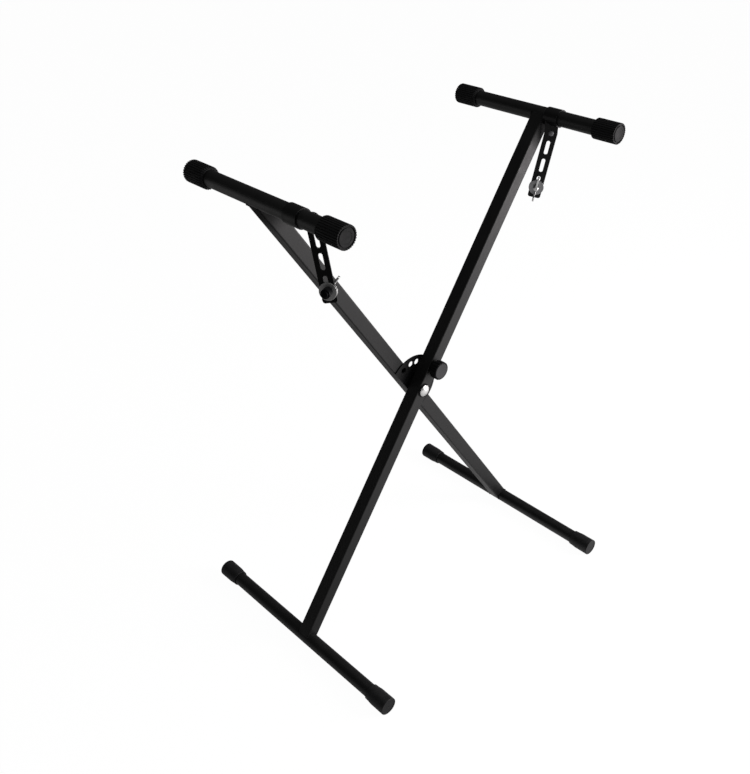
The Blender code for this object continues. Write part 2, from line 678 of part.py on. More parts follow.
def lock_pin():
    """Stem, collar and nose in one. The spring pushes the collar towards the plate."""
    at = lock_point(1)
    start = STEM_END
    profile = [(0.0, PIN_TIP - start), (PIN_RADIUS - PIN_TIP_CHAMFER, PIN_TIP - start),
               (PIN_RADIUS, PIN_TIP - PIN_TIP_CHAMFER - start), (PIN_RADIUS, COLLAR_FAR - start),
               (PIN_COLLAR_RADIUS, COLLAR_FAR - start), (PIN_COLLAR_RADIUS, COLLAR_NEAR - start),
               (STEM_RADIUS, COLLAR_NEAR - start), (STEM_RADIUS, 0.0), (0.0, 0.0)]
    pin = turned("lock_pin", profile, sides=SMALL)
    pin.matrix_world = away_from(start, at.x, at.z)
    return finish(pin, **DULL_STEEL)


def lock_spring():
    """One unbroken coil round the pin's stem."""
    at = lock_point(1)
    near = CHAMBER_NEAR + SEAT_GAP + SPRING_WIRE
    far = COLLAR_NEAR - SEAT_GAP - SPRING_WIRE
    steps = SPRING_TURNS * SPRING_STEPS
    data = bpy.data.curves.new("lock_spring", "CURVE")
    data.dimensions = "3D"
    data.bevel_depth = SPRING_WIRE
    data.bevel_resolution = 1
    data.use_fill_caps = True
    spline = data.splines.new("POLY")
    spline.points.add(steps)
    for i, point in enumerate(spline.points):
        angle = 2 * pi * SPRING_TURNS * i / steps
        along = near + (far - near) * i / steps
        point.co = (at.x + SPRING_RADIUS * cos(angle), along, at.z + SPRING_RADIUS * sin(angle), 1.0)
    curve = bpy.data.objects.new("lock_spring", data)
    PARTS.objects.link(curve)
    return finish(mesh_from(curve), **DULL_STEEL)


def lock_knob():
    """A cup with a hub for the pin's stem. Its cup goes over the housing's flange as it is let in."""
    at = lock_point(1)
    disc_room = DISC_RADIUS + SEAT_GAP
    disc_floor = DISC_THICKNESS + SEAT_GAP
    socket = STEM_RADIUS + SEAT_GAP
    cup_end = KNOB_FACE
    hub_end = KNOB_FACE + KNOB_HUB
    edge = arc((KNOB_RADIUS - KNOB_ROUND, KNOB_ROUND), KNOB_ROUND, 0.0, -pi / 2, ROUND_STEPS)
    profile = [(0.0, hub_end - KNOB_STEM_SOCKET), (socket, hub_end - KNOB_STEM_SOCKET), (socket, hub_end),
               (KNOB_HUB_RADIUS, hub_end), (KNOB_HUB_RADIUS, cup_end), (KNOB_CUP_RADIUS, cup_end),
               (KNOB_CUP_RADIUS, KNOB_DEPTH), (KNOB_RADIUS, KNOB_DEPTH)] + edge
    profile += [(disc_room, 0.0), (disc_room, disc_floor), (0.0, disc_floor)]
    knob = turned("lock_knob", profile)
    knob.matrix_world = away_from(KNOB_NEAR, at.x, at.z)
    finish(knob, **BLACK_PLASTIC)
    disc_profile = [(0.0, DISC_THICKNESS), (DISC_RADIUS, DISC_THICKNESS), (DISC_RADIUS, DISC_EDGE),
                    (DISC_RADIUS - DISC_EDGE, 0.0), (0.0, 0.0)]
    disc = turned("lock_knob_disc", disc_profile)
    disc.matrix_world = away_from(KNOB_NEAR, at.x, at.z)
    return finish(disc, **GREY_PLASTIC)


def ear_offset():
    """Middle of the ear from the middle of the strap, on the side that looks at -X."""
    return -(STRAP_THICKNESS + EAR_THICKNESS) / 2 - SEAT_GAP


def ear(name, place, height, top):
    """A tab with a round lower end about the rivet. Its upper edge is 2 * top wide."""
    outline = arc((0.0, 0.0), EAR_RADIUS, pi, 2 * pi, SHEET_STEPS)
    outline += [(top, height), (-top, height)]
    tab = sheet(name, [outline], EAR_THICKNESS)
    tab.matrix_world = place.ear_frame() @ Matrix.Translation((ear_offset(), 0.0, 0.0)) @ across_strap()
    return tab


def left_shelf(place, height):
    """The flange that carries the left ear out from its collar."""
    frame = place.ear_frame()
    corners = [frame @ Vector((ear_offset(), side * LEFT_EAR_TOP, height)) for side in (-1, 1)]
    axis = place.arm_axis()
    outer = [(corner.x - axis.x, corner.y) for corner in corners]
    near = place.collar_y - COLLAR_LENGTH / 2
    far = place.collar_y + COLLAR_LENGTH / 2
    outline = [(0.0, near), outer[0], outer[1], (0.0, far)]
    level = frame @ Vector((ear_offset(), 0.0, height))
    flange = sheet("left_collar_shelf", [outline], EAR_THICKNESS)
    flange.matrix_world = Matrix.Translation((axis.x, 0.0, level.z - EAR_THICKNESS / 2))
    return flange


def collar(place, ear_height, ear_top, extra=()):
    """A sheet-metal band round the arm, free to turn on it, with an ear for the strap's rivet."""
    name = f"{place.name()}_collar"
    axis = place.arm_axis()
    near = place.collar_y - COLLAR_LENGTH / 2
    far = place.collar_y + COLLAR_LENGTH / 2
    band = rod_along_y(name, COLLAR_RADIUS, near, far, axis.x, axis.z, sides=FINE)
    join(band, ear(f"{name}_ear", place, ear_height, ear_top), *extra)
    bore = rod_along_y(f"{name}_bore", COLLAR_BORE, near - COLLAR_LENGTH, far + COLLAR_LENGTH,
                       axis.x, axis.z, sides=FINE)
    frame = place.ear_frame()
    turn = frame.to_3x3() @ Matrix.Rotation(pi / 2, 3, "Y")
    hole = rod(f"{name}_rivet_hole", RIVET_RADIUS + RUNNING_GAP, EAR_THICKNESS * 3,
               frame @ Vector((ear_offset(), 0.0, 0.0)), turn.to_euler(), sides=SMALL)
    return finish(cut(band, bore, hole), **BLACK_PAINT)


def rivet(place):
    """A rivet with a low dome at each end, through the ear and the strap."""
    low = ear_offset() - EAR_THICKNESS / 2 - SEAT_GAP
    high = STRAP_THICKNESS / 2 + SEAT_GAP
    dome = [(RIVET_HEAD_RADIUS * sin(a), RIVET_HEAD * cos(a))
            for a in (pi / 2 * i / DOME_STEPS for i in range(DOME_STEPS + 1))]
    top = [(r, high - low + h) for r, h in dome]
    bottom = [(r, -h) for r, h in reversed(dome)]
    profile = top + [(RIVET_RADIUS, high - low), (RIVET_RADIUS, 0.0)] + bottom
    made = turned(f"{place.name()}_rivet", profile, sides=SMALL)
    made.matrix_world = place.ear_frame() @ along_x(low)
    return finish(made, **BRIGHT_ZINC)


def strap(place):
    """A flat strap with three slots in a row, hung from its rivet."""
    top = arc((0.0, 0.0), STRAP_HALF_WIDTH, 0.0, pi, SHEET_STEPS)
    side = STRAP_HALF_WIDTH - STRAP_CORNER
    low = STRAP_CORNER - STRAP_END
    bottom = arc((-side, low), STRAP_CORNER, pi, 1.5 * pi, CORNER_STEPS)
    bottom += arc((side, low), STRAP_CORNER, 1.5 * pi, 2 * pi, CORNER_STEPS)
    outlines = [top + bottom, ring_points((0.0, 0.0), RIVET_RADIUS + RUNNING_GAP)]
    start = FIRST_SLOT
    for length in (SLOT_LENGTH, SLOT_LENGTH, LAST_SLOT_LENGTH):
        outlines.append(slot_points((0.0, -start - length / 2), SLOT_WIDTH, length))
        start += length + SLOT_GAP
    made = sheet(f"{place.name()}_strap", outlines, STRAP_THICKNESS)
    made.matrix_world = place.strap_frame() @ across_strap()
    return finish(made, **BLACK_PAINT)


def clamp_pieces(place):
    """Two washers and a round grip nut, on the wing bolt, one washer on each face of the strap."""
    frame = place.bolt_frame()
    hole = WING_BOLT_RADIUS + THREAD_GAP
    face = STRAP_THICKNESS / 2 + SEAT_GAP
    wing_side = washer(f"{place.name()}_wing_washer", WASHER_RADIUS, hole, WASHER_THICKNESS,
                       frame @ along_x(face))
    finish(wing_side, **DULL_STEEL)
    nut_side = washer(f"{place.name()}_nut_washer", WASHER_RADIUS, hole, WASHER_THICKNESS,
                      frame @ along_x(-face - WASHER_THICKNESS))
    finish(nut_side, **DULL_STEEL)
    start = face + WASHER_THICKNESS + SEAT_GAP
    rounding = GRIP_NUT_ROUND
    profile = [(hole, GRIP_NUT_HEIGHT), (GRIP_NUT_RADIUS, GRIP_NUT_HEIGHT), (GRIP_NUT_RADIUS, rounding),
               (GRIP_NUT_RADIUS - rounding, 0.0), (hole, 0.0)]
    nut = turned(f"{place.name()}_grip_nut", profile, closed=True, sides=SMALL)
    nut.matrix_world = frame @ along_x(-start - GRIP_NUT_HEIGHT)
    return finish(nut, **BLACK_PLASTIC)


def wing_bolt(place):
    """Shank, hub and two raised wings in one piece."""
    frame = place.bolt_frame()
    base = STRAP_THICKNESS / 2 + WASHER_THICKNESS + 2 * SEAT_GAP
    tip = base + GRIP_NUT_HEIGHT + WING_BOLT_OUT
    name = f"{place.name()}_wing_bolt"
    profile = [(0.0, base + WING_HUB_HEIGHT), (WING_HUB_TOP_RADIUS, base + WING_HUB_HEIGHT),
               (WING_HUB_RADIUS, base), (WING_BOLT_RADIUS, base), (WING_BOLT_RADIUS, -tip), (0.0, -tip)]
    bolt = apply_modifiers(turned(name, profile, sides=SMALL))
    bolt.matrix_world = frame @ along_x(0.0)
    for number, side in enumerate((1, -1)):
        root = (side * WING_ROOT[0], base + WING_ROOT[1], WING_ROOT[2])
        end = (side * WING_TIP[0], base + WING_TIP[1], WING_TIP[2])
        wing = sheet(f"{name}_wing_{number}", [drop_points(root, end)], WING_THICKNESS)
        upright = Matrix(((0, 1, 0, 0), (0, 0, 1, 0), (1, 0, 0, 0), (0, 0, 0, 1)))
        wing.matrix_world = frame @ Matrix.Rotation(place.wing_turn, 4, "X") @ upright
        join(bolt, wing)
    return finish(bolt, **BRIGHT_ZINC)


def hang_on(name, place, pieces):
    """An empty on a joint's axis, which carries the pieces that move with it."""
    empty = bpy.data.objects.new(name, None)
    empty.empty_display_size = LEG_WIDTH
    empty.matrix_world = place
    PARTS.objects.link(empty)
    bpy.context.view_layer.update()
    for piece in pieces:
        held = bpy.data.objects[piece]
        world = held.matrix_world.copy()
        held.parent = empty
        held.matrix_parent_inverse = empty.matrix_world.inverted()
        held.matrix_world = world
    return empty


def joint_empties():
    pivot = Matrix.Translation((0.0, 0.0, pivot_z()))
    rear = ["rear_leg", "lock_plate", "right_foot_tube", "right_foot_cap_near", "right_foot_cap_far",
            "left_arm_tube", "left_arm_cap_near", "left_arm_cap_far"]
    fold = hang_on("fold_axis", pivot, rear)
    hang_on("lock_axis", Matrix.Translation(lock_point(1)), ["lock_pin", "lock_knob", "lock_knob_disc"])
    for place in (LEFT, RIGHT):
        side = place.name()
        wing = hang_on(f"{side}_wing_axis", place.bolt_frame(), [f"{side}_wing_bolt"])
        clamp = hang_on(f"{side}_clamp_axis", place.bolt_frame(),
                        [f"{side}_wing_washer", f"{side}_nut_washer", f"{side}_grip_nut", wing.name])
        swivel = hang_on(f"{side}_swivel_axis", place.strap_frame(), [f"{side}_strap", clamp.name])
        swing = hang_on(f"{side}_collar_axis", Matrix.Translation(place.arm_axis()),
                        [f"{side}_collar", f"{side}_rivet", swivel.name])
        if place.side < 0:
            hang_on("left_arm_carrier", fold.matrix_world, [swing.name])
            bpy.data.objects["left_arm_carrier"].parent = fold
            bpy.data.objects["left_arm_carrier"].matrix_parent_inverse = fold.matrix_world.inverted()


def build():
    front_leg()
    rear_leg()
    feet_and_arms()
    lock_plate()
    pivot_bolt()
    pivot_washers()
    pivot_nut()
    lock_housing()
    lock_pin()
    lock_spring()
    lock_knob()
    collar(RIGHT, -RIGHT.rivet.z - EAR_THICKNESS, EAR_RADIUS)
    left_height = RIVET_HEAD_RADIUS + LEFT_SHELF_CLEAR + EAR_THICKNESS
    collar(LEFT, left_height, LEFT_EAR_TOP, [left_shelf(LEFT, left_height)])
    for place in (LEFT, RIGHT):
        rivet(place)
        strap(place)
        clamp_pieces(place)
        wing_bolt(place)
    joint_empties()


build()
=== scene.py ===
"""The looks of a folding X keyboard stand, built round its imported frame.

Sizes are in metres and +Z is up. The pull knob is on the near side, at -Y, and the photograph
looks at the stand from its near left, from above.
"""

import json
import logging
from collections.abc import Callable, Iterator, Sequence
from contextlib import contextmanager
from dataclasses import dataclass, field, replace
from enum import Enum
from functools import cache
from itertools import pairwise
from math import asin, atan2, cos, hypot, pi, radians, sin

import bmesh
import bpy
from bpy.types import Material, Node, NodeSocket, NodeTree, Object
from mathutils import Matrix, Vector

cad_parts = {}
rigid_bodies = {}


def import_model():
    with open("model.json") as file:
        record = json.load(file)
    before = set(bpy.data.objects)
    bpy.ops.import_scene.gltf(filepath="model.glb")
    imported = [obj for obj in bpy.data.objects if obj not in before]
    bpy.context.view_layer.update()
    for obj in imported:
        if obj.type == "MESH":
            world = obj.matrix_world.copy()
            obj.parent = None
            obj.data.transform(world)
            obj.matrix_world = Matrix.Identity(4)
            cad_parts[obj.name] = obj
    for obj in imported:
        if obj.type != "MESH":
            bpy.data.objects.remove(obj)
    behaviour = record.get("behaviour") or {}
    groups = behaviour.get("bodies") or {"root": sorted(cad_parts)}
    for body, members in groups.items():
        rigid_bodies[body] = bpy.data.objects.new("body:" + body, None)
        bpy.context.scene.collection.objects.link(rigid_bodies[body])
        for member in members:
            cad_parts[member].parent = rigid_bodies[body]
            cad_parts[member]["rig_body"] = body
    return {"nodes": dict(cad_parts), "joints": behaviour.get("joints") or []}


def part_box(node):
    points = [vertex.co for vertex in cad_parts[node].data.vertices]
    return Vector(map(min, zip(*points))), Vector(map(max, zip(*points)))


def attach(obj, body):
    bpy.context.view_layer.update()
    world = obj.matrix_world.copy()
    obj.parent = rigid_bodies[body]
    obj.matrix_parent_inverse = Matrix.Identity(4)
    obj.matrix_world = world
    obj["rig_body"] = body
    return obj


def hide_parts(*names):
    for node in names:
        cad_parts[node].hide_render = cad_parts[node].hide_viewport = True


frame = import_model()
bpy.context.view_layer.update()

LOG = logging.getLogger("keyboard_stand")
MM = 0.001
Ring = tuple[float, float]
Colour = tuple[float, float, float]


class Slot(Enum):
    """The record's material slots."""

    PAINT = "black_paint"
    PLASTIC = "black_plastic"
    RUBBER = "black_rubber"
    GREY = "grey_plastic"
    NYLON = "white_nylon"
    ZINC = "bright_zinc"
    STEEL = "dull_steel"


class Side(Enum):
    """The two sides of the stand, seen from its near side."""

    LEFT = -1
    RIGHT = 1

    @property
    def word(self) -> str:
        """The side's name in the frame's nodes."""
        return self.name.lower()


class End(Enum):
    """The two ends of a foot or an arm."""

    NEAR = -1
    FAR = 1

    @property
    def word(self) -> str:
        """The end's name in the frame's nodes."""
        return self.name.lower()


# Places in the frame


def joint_at(name: str) -> Vector:
    """Where a turning joint of the frame is."""
    return Vector(next(row for row in frame["joints"] if row["name"] == name)["pos_m"])


def joint_axis(name: str) -> Vector:
    """The direction of a joint of the frame."""
    row = next(row for row in frame["joints"] if row["name"] == name)
    return Vector(row["axis"]).normalized()


def middle(node: str) -> Vector:
    """The middle of a node's box."""
    low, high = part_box(node)
    return (low + high) / 2


def axes_at(origin: Vector, x: Vector, y: Vector, z: Vector) -> Matrix:
    """A place from its origin and its three axes."""
    turn = Matrix((x, y, z)).transposed().to_4x4()
    return Matrix.Translation(origin) @ turn


def away_from(near: float, x: float, z: float) -> Matrix:
    """A place whose +Z runs along +Y, away from the near side."""
    return Matrix.Translation((x, near, z)) @ Matrix.Rotation(-pi / 2, 4, "X")


def towards_near(far: float, x: float, z: float) -> Matrix:
    """A place whose +Z runs along -Y, towards the near side."""
    return Matrix.Translation((x, far, z)) @ Matrix.Rotation(pi / 2, 4, "X")


def cap_place(node: str, end: End) -> Matrix:
    """The place of a cap: at its mouth, with +Z towards its closed end.

    Args:
        node: The cap's node.
        end: The end of the tube that it is on.

    Returns:
        The place.
    """
    low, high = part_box(node)
    axis = middle(node)
    if end is End.NEAR:
        return towards_near(high.y, axis.x, axis.z)
    return away_from(low.y, axis.x, axis.z)


# The bench: how pieces are made


def bare_bench() -> None:
    """Leave edit mode and select nothing."""
    if bpy.context.mode != "OBJECT":
        bpy.ops.object.mode_set(mode="OBJECT")
    bpy.ops.object.select_all(action="DESELECT")


def take(piece: Object) -> Object:
    """Select one piece alone and make it active.

    Args:
        piece: The piece to take up.

    Returns:
        The same piece.
    """
    bare_bench()
    piece.select_set(True)
    bpy.context.view_layer.objects.active = piece
    return piece


def just_made(name: str) -> Object:
    """Name the primitive that was added last, with its place in its mesh.

    Args:
        name: The piece's name.

    Returns:
        The piece, unturned and unscaled at the origin.
    """
    piece = bpy.context.object
    piece.name = name
    piece.data.name = name
    take(piece)
    bpy.ops.object.transform_apply(location=True, rotation=True, scale=True)
    return piece


@contextmanager
def editing(piece: Object, kind: str = "VERT") -> Iterator[None]:
    """Open a piece in edit mode with nothing selected.

    Args:
        piece: The piece to open.
        kind: What is selected in it: VERT, EDGE or FACE.
    """
    take(piece)
    bpy.ops.object.mode_set(mode="EDIT")
    bpy.ops.mesh.select_mode(type=kind)
    bpy.ops.mesh.select_all(action="DESELECT")
    yield
    bpy.ops.object.mode_set(mode="OBJECT")


def choose_points(piece: Object, test: Callable[[Vector], bool]) -> None:
    """Select the points of an open piece that pass a test of their place.

    Args:
        piece: The open piece.
        test: Says of a point's place whether it is chosen.
    """
    work = bmesh.from_edit_mesh(piece.data)
    for point in work.verts:
        point.select_set(test(point.co))
    work.select_flush_mode()
    bmesh.update_edit_mesh(piece.data)


def choose_faces(piece: Object, test: Callable[[Vector, Vector], bool]) -> None:
    """Select the faces of an open piece that pass a test of their middle and normal.

    Args:
        piece: The open piece.
        test: Says of a face's middle and normal whether it is chosen.
    """
    work = bmesh.from_edit_mesh(piece.data)
    for face in work.faces:
        face.select_set(test(face.calc_center_median(), face.normal))
    bmesh.update_edit_mesh(piece.data)


def choose_edges(piece: Object, test: Callable[[Vector, Vector], bool]) -> None:
    """Select the edges of an open piece that pass a test of their middle and direction.

    Args:
        piece: The open piece.
        test: Says of an edge's middle and direction whether it is chosen.
    """
    work = bmesh.from_edit_mesh(piece.data)
    for edge in work.edges:
        start, end = (point.co for point in edge.verts)
        edge.select_set(test((start + end) / 2, (end - start).normalized()))
    bmesh.update_edit_mesh(piece.data)


def apply(piece: Object, kind: str, **settings: object) -> Object:
    """Put a modifier on a piece and apply it.

    Args:
        piece: The piece to change.
        kind: The modifier's type.
        settings: The modifier's own settings.

    Returns:
        The same piece.
    """
    take(piece)
    step = piece.modifiers.new(kind.lower(), kind)
    for name, value in settings.items():
        setattr(step, name, value)
    bpy.ops.object.modifier_apply(modifier=step.name)
    return piece


def soften(piece: Object, width: float, segments: int = 2) -> Object:
    """Round off a piece's sharp edges."""
    return apply(piece, "BEVEL", width=width, segments=segments, limit_method="ANGLE",
                 angle_limit=radians(35.0), use_clamp_overlap=True)


def polish(piece: Object, angle: float = radians(38.0)) -> Object:
    """Shade a piece smooth, but for its sharp edges, with its flats kept flat.

    Args:
        piece: The piece to shade.
        angle: Edges that turn further than this stay sharp.

    Returns:
        The same piece.
    """
    take(piece)
    bpy.ops.object.shade_smooth_by_angle(angle=angle)
    return apply(piece, "WEIGHTED_NORMAL", keep_sharp=True)


def settle(piece: Object, place: Matrix) -> Object:
    """Move a piece to its place, which goes into its mesh.

    Args:
        piece: The piece to move.
        place: Where it goes.

    Returns:
        The same piece.
    """
    take(piece)
    piece.matrix_world = place
    bpy.ops.object.transform_apply(location=True, rotation=True, scale=True)
    return piece


def combine(piece: Object, other: Object, operation: str = "DIFFERENCE") -> Object:
    """Cut another piece away from a piece, or join it on, and throw the other one away.

    Args:
        piece: The piece that is kept.
        other: The piece that is used up.
        operation: DIFFERENCE, UNION or INTERSECT.

    Returns:
        The kept piece.
    """
    apply(piece, "BOOLEAN", operation=operation, solver="EXACT", object=other)
    bpy.data.objects.remove(other, do_unlink=True)
    return piece


def merge_points(piece: Object) -> Object:
    """Merge a piece's doubled points and turn its faces outwards.

    Args:
        piece: The piece to mend.

    Returns:
        The same piece.
    """
    with editing(piece):
        bpy.ops.mesh.select_all(action="SELECT")
        bpy.ops.mesh.remove_doubles(threshold=0.01 * MM)
        bpy.ops.mesh.normals_make_consistent(inside=False)
    return piece


def lathe(name: str, rings: Sequence[Ring], sides: int = 96, ring_shaped: bool = False) -> Object:
    """Turn a piece: a circle is extruded up local Z and drawn in or out, ring by ring.

    Args:
        name: The piece's name.
        rings: Radius and height of each ring, from one end of the outline to the other.
        sides: Sides of the circle.
        ring_shaped: The outline closes on its first ring, and the piece has a bore. Otherwise
            the first and the last ring are closed with flat faces.

    Returns:
        The closed piece, standing on the origin.
    """
    bare_bench()
    radius, height = rings[0]
    bpy.ops.mesh.primitive_circle_add(
        vertices=sides, radius=radius, fill_type="NOTHING" if ring_shaped else "NGON",
        location=(0.0, 0.0, height))
    piece = just_made(name)
    outline = [*rings, rings[0]] if ring_shaped else rings
    with editing(piece):
        bpy.ops.mesh.select_all(action="SELECT")
        for before, after in pairwise(outline):
            rise = (0.0, 0.0, after[1] - before[1])
            bpy.ops.mesh.extrude_region_move(TRANSFORM_OT_translate={"value": rise})
            scale = after[0] / before[0]
            bpy.ops.transform.resize(value=(scale, scale, 1.0), center_override=(0.0, 0.0, after[1]))
    return merge_points(piece)


def bow(centre: Ring, radius: float, start: float, end: float, steps: int = 5) -> list[Ring]:
    """Rings along an arc of a turned outline, at angles measured from the radial direction."""
    angles = [start + (end - start) * i / steps for i in range(steps + 1)]
    return [(centre[0] + radius * cos(a), centre[1] + radius * sin(a)) for a in angles]


def thread(radius: float, start: float, end: float, pitch: float, depth: float) -> list[Ring]:
    """Rings of a screw thread between two heights, in either direction.

    Args:
        radius: The thread's outer radius.
        start: Its first height.
        end: Its last height.
        pitch: The height of one turn.
        depth: How far its valleys go in.

    Returns:
        Radius and height of each ring, crest after valley.
    """
    turns = max(1, round(abs(end - start) / pitch))
    rings = []
    for i in range(2 * turns + 1):
        height = start + (end - start) * i / (2 * turns)
        rings.append((radius if i % 2 else radius - depth, height))
    return rings


def block(name: str, size: Sequence[float], centre: Sequence[float] = (0.0, 0.0, 0.0)) -> Object:
    """A box of a given size, ready for shaping.

    Args:
        name: The piece's name.
        size: Its sides along X, Y and Z.
        centre: Its middle.

    Returns:
        The box.
    """
    bare_bench()
    bpy.ops.mesh.primitive_cube_add(size=1.0, location=centre)
    bpy.context.object.scale = size
    return just_made(name)


def stick(radius: float, length: float, place: Matrix, sides: int = 96) -> Object:
    """A round cutter along its place's Z, centred there.

    Args:
        radius: The cutter's radius.
        length: Its length.
        place: Its middle and axes.
        sides: Sides of its circle.

    Returns:
        The cutter.
    """
    bare_bench()
    bpy.ops.mesh.primitive_cylinder_add(vertices=sides, radius=radius, depth=length)
    return settle(just_made("cutter"), place)


def stadium(name: str, radius: float, length: float, depth: float) -> Object:
    """A plate with two round ends: its length is along Y and its thickness along Z.

    Args:
        name: The piece's name.
        radius: The ends' radius.
        length: Over both ends.
        depth: The thickness.

    Returns:
        The plate.
    """
    bare_bench()
    bpy.ops.mesh.primitive_cylinder_add(vertices=64, radius=radius, depth=depth)
    piece = just_made(name)
    half = length / 2 - radius
    with editing(piece):
        for way in (1.0, -1.0):
            choose_points(piece, lambda place, way=way: place.y * way > MM / 100)
            bpy.ops.transform.translate(value=(0.0, way * half, 0.0))
    return piece


def drop_plate(name: str, root: Sequence[float], tip: Sequence[float], thickness: float) -> Object:
    """A plate shaped like a drop: the outline round two circles in XZ.

    Args:
        name: The piece's name.
        root: X, Z and radius of the circle at the root.
        tip: X, Z and radius of the circle at the tip.
        thickness: Along Y.

    Returns:
        The plate.
    """
    bare_bench()
    bpy.ops.mesh.primitive_cylinder_add(vertices=64, radius=tip[2], depth=thickness,
                                        location=(tip[0], 0.0, tip[1]), rotation=(pi / 2, 0.0, 0.0))
    piece = just_made(name)
    heading = Vector((tip[0] - root[0], 0.0, tip[1] - root[1]))
    centre = Vector((tip[0], 0.0, tip[1]))
    towards_tip = heading.normalized()
    with editing(piece):
        choose_points(piece, lambda place: (place - centre).dot(towards_tip) < 0.0)
        bpy.ops.transform.translate(value=-heading)
        scale = root[2] / tip[2]
        bpy.ops.transform.resize(value=(scale, 1.0, scale), center_override=(root[0], 0.0, root[1]))
    return piece


def copy_of(piece: Object, name: str, place: Matrix) -> Object:
    """A copy of a piece with its own mesh, settled at its own place.

    Args:
        piece: The piece to copy.
        name: The copy's name.
        place: Where the copy goes.

    Returns:
        The copy.
    """
    twin = piece.copy()
    twin.data = piece.data.copy()
    twin.name = name
    twin.data.name = name
    bpy.context.scene.collection.objects.link(twin)
    return settle(twin, place)


def melt(name: str, lumps: Sequence[Object], grain: float, rounds: int) -> Object:
    """Melt overlapping pieces into one skin with soft inner corners, as a casting or a weld has.

    Args:
        name: The new piece's name.
        lumps: The pieces, which are used up.
        grain: The skin's fineness.
        rounds: How often the skin is smoothed.

    Returns:
        The one piece.
    """
    bare_bench()
    for lump in lumps:
        lump.select_set(True)
    bpy.context.view_layer.objects.active = lumps[0]
    if len(lumps) > 1:
        bpy.ops.object.join()
    piece = just_made(name)
    apply(piece, "REMESH", mode="VOXEL", voxel_size=grain, use_smooth_shade=True)
    return apply(piece, "SMOOTH", factor=0.5, iterations=rounds)


def hand_over(piece: Object, node: str, look: Material, stands_for: bool = True) -> Object:
    """Dress a piece and let it move with a node of the frame.

    Args:
        piece: The finished piece.
        node: The node that the piece stands for, or moves with.
        look: The piece's material.
        stands_for: The node isn't shown, because the piece is there instead.

    Returns:
        The same piece.
    """
    piece.data.materials.clear()
    piece.data.materials.append(look)
    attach(piece, frame["nodes"][node]["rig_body"])
    if stands_for:
        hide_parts(node)
    LOG.info("%s: %d faces, for %s", piece.name, len(piece.data.polygons), node)
    return piece


# Node trees for the finishes


class Wiring:
    """A node tree while it is being wired."""

    def __init__(self, tree: NodeTree) -> None:
        """Start with an empty tree."""
        self.tree = tree
        self.tree.nodes.clear()

    def add(self, kind: str, inputs: dict[str | int, object] | None = None, **settings: object) -> Node:
        """Add a node, with its settings, and set or wire its inputs.

        Args:
            kind: The node's type.
            inputs: Sockets to wire and numbers to set, by input.
            settings: The node's own settings, which come first.

        Returns:
            The node.
        """
        node = self.tree.nodes.new(kind)
        for name, value in settings.items():
            setattr(node, name, value)
        for name, value in (inputs or {}).items():
            if isinstance(value, NodeSocket):
                self.tree.links.new(value, node.inputs[name])
            else:
                node.inputs[name].default_value = value
        return node

    def math(self, operation: str, first: object, second: object = 0.0, clamp: bool = False) -> NodeSocket:
        """One step of arithmetic."""
        node = self.add("ShaderNodeMath", {0: first, 1: second}, operation=operation, use_clamp=clamp)
        return node.outputs[0]

    def spread(self, value: object, low: float, high: float, to_low: object, to_high: object) -> NodeSocket:
        """Map a value from one range to another, held within it."""
        node = self.add("ShaderNodeMapRange", {
            "Value": value, "From Min": low, "From Max": high, "To Min": to_low, "To Max": to_high})
        return node.outputs["Result"]

    def tint(self, mask: object, below: object, above: object) -> NodeSocket:
        """Mix two colours by a mask."""
        node = self.add("ShaderNodeMix", {0: mask, 6: below, 7: above}, data_type="RGBA")
        return node.outputs[2]

    def noise(self, where: object, scale: object, detail: float = 2.0, warp: float = 0.0) -> NodeSocket:
        """A noise value over the surface."""
        node = self.add("ShaderNodeTexNoise", {
            "Vector": where, "Scale": scale, "Detail": detail, "Distortion": warp})
        return node.outputs[0]

    def stretched(self, where: object, scale: Sequence[float], turn: Sequence[float]) -> NodeSocket:
        """A place that is turned and scaled differently along each axis."""
        node = self.add("ShaderNodeMapping", {"Vector": where, "Rotation": turn, "Scale": scale})
        return node.outputs[0]


def new_group(name: str, inputs: dict[str, float | None],
              outputs: Sequence[str]) -> tuple[Wiring, Node, Node]:
    """Start a shader node group.

    Args:
        name: The group's name.
        inputs: Its inputs with their defaults, None for a vector.
        outputs: Its outputs, which are all values.

    Returns:
        The wiring of its tree, its input node and its output node.
    """
    tree = bpy.data.node_groups.new(name, "ShaderNodeTree")
    for label, default in inputs.items():
        kind = "NodeSocketVector" if default is None else "NodeSocketFloat"
        socket = tree.interface.new_socket(name=label, in_out="INPUT", socket_type=kind)
        if default is not None:
            socket.default_value = default
    for label in outputs:
        tree.interface.new_socket(name=label, in_out="OUTPUT", socket_type="NodeSocketFloat")
    wiring = Wiring(tree)
    return wiring, wiring.add("NodeGroupInput"), wiring.add("NodeGroupOutput")


@cache
def orange_peel() -> NodeTree:
    """The fine waviness of baked paint, and how its gloss varies with it.

    Returns:
        The group.
    """
    wiring, given, out = new_group(
        "orange_peel", {"Vector": None, "Waves": 700.0, "Specks": 3600.0, "Streaks": 45.0},
        ["Height", "Gloss"])
    waves = wiring.noise(given.outputs["Vector"], given.outputs["Waves"], 2.0)
    specks = wiring.noise(given.outputs["Vector"], given.outputs["Specks"], 1.0)
    height = wiring.math("ADD", waves, wiring.math("MULTIPLY", specks, 0.35))
    streaks = wiring.noise(given.outputs["Vector"], given.outputs["Streaks"], 4.0, 0.6)
    gloss = wiring.math("ADD", wiring.math("MULTIPLY", streaks, 0.7), wiring.math("MULTIPLY", waves, 0.3))
    wiring.tree.links.new(height, out.inputs["Height"])
    wiring.tree.links.new(gloss, out.inputs["Gloss"])
    return wiring.tree


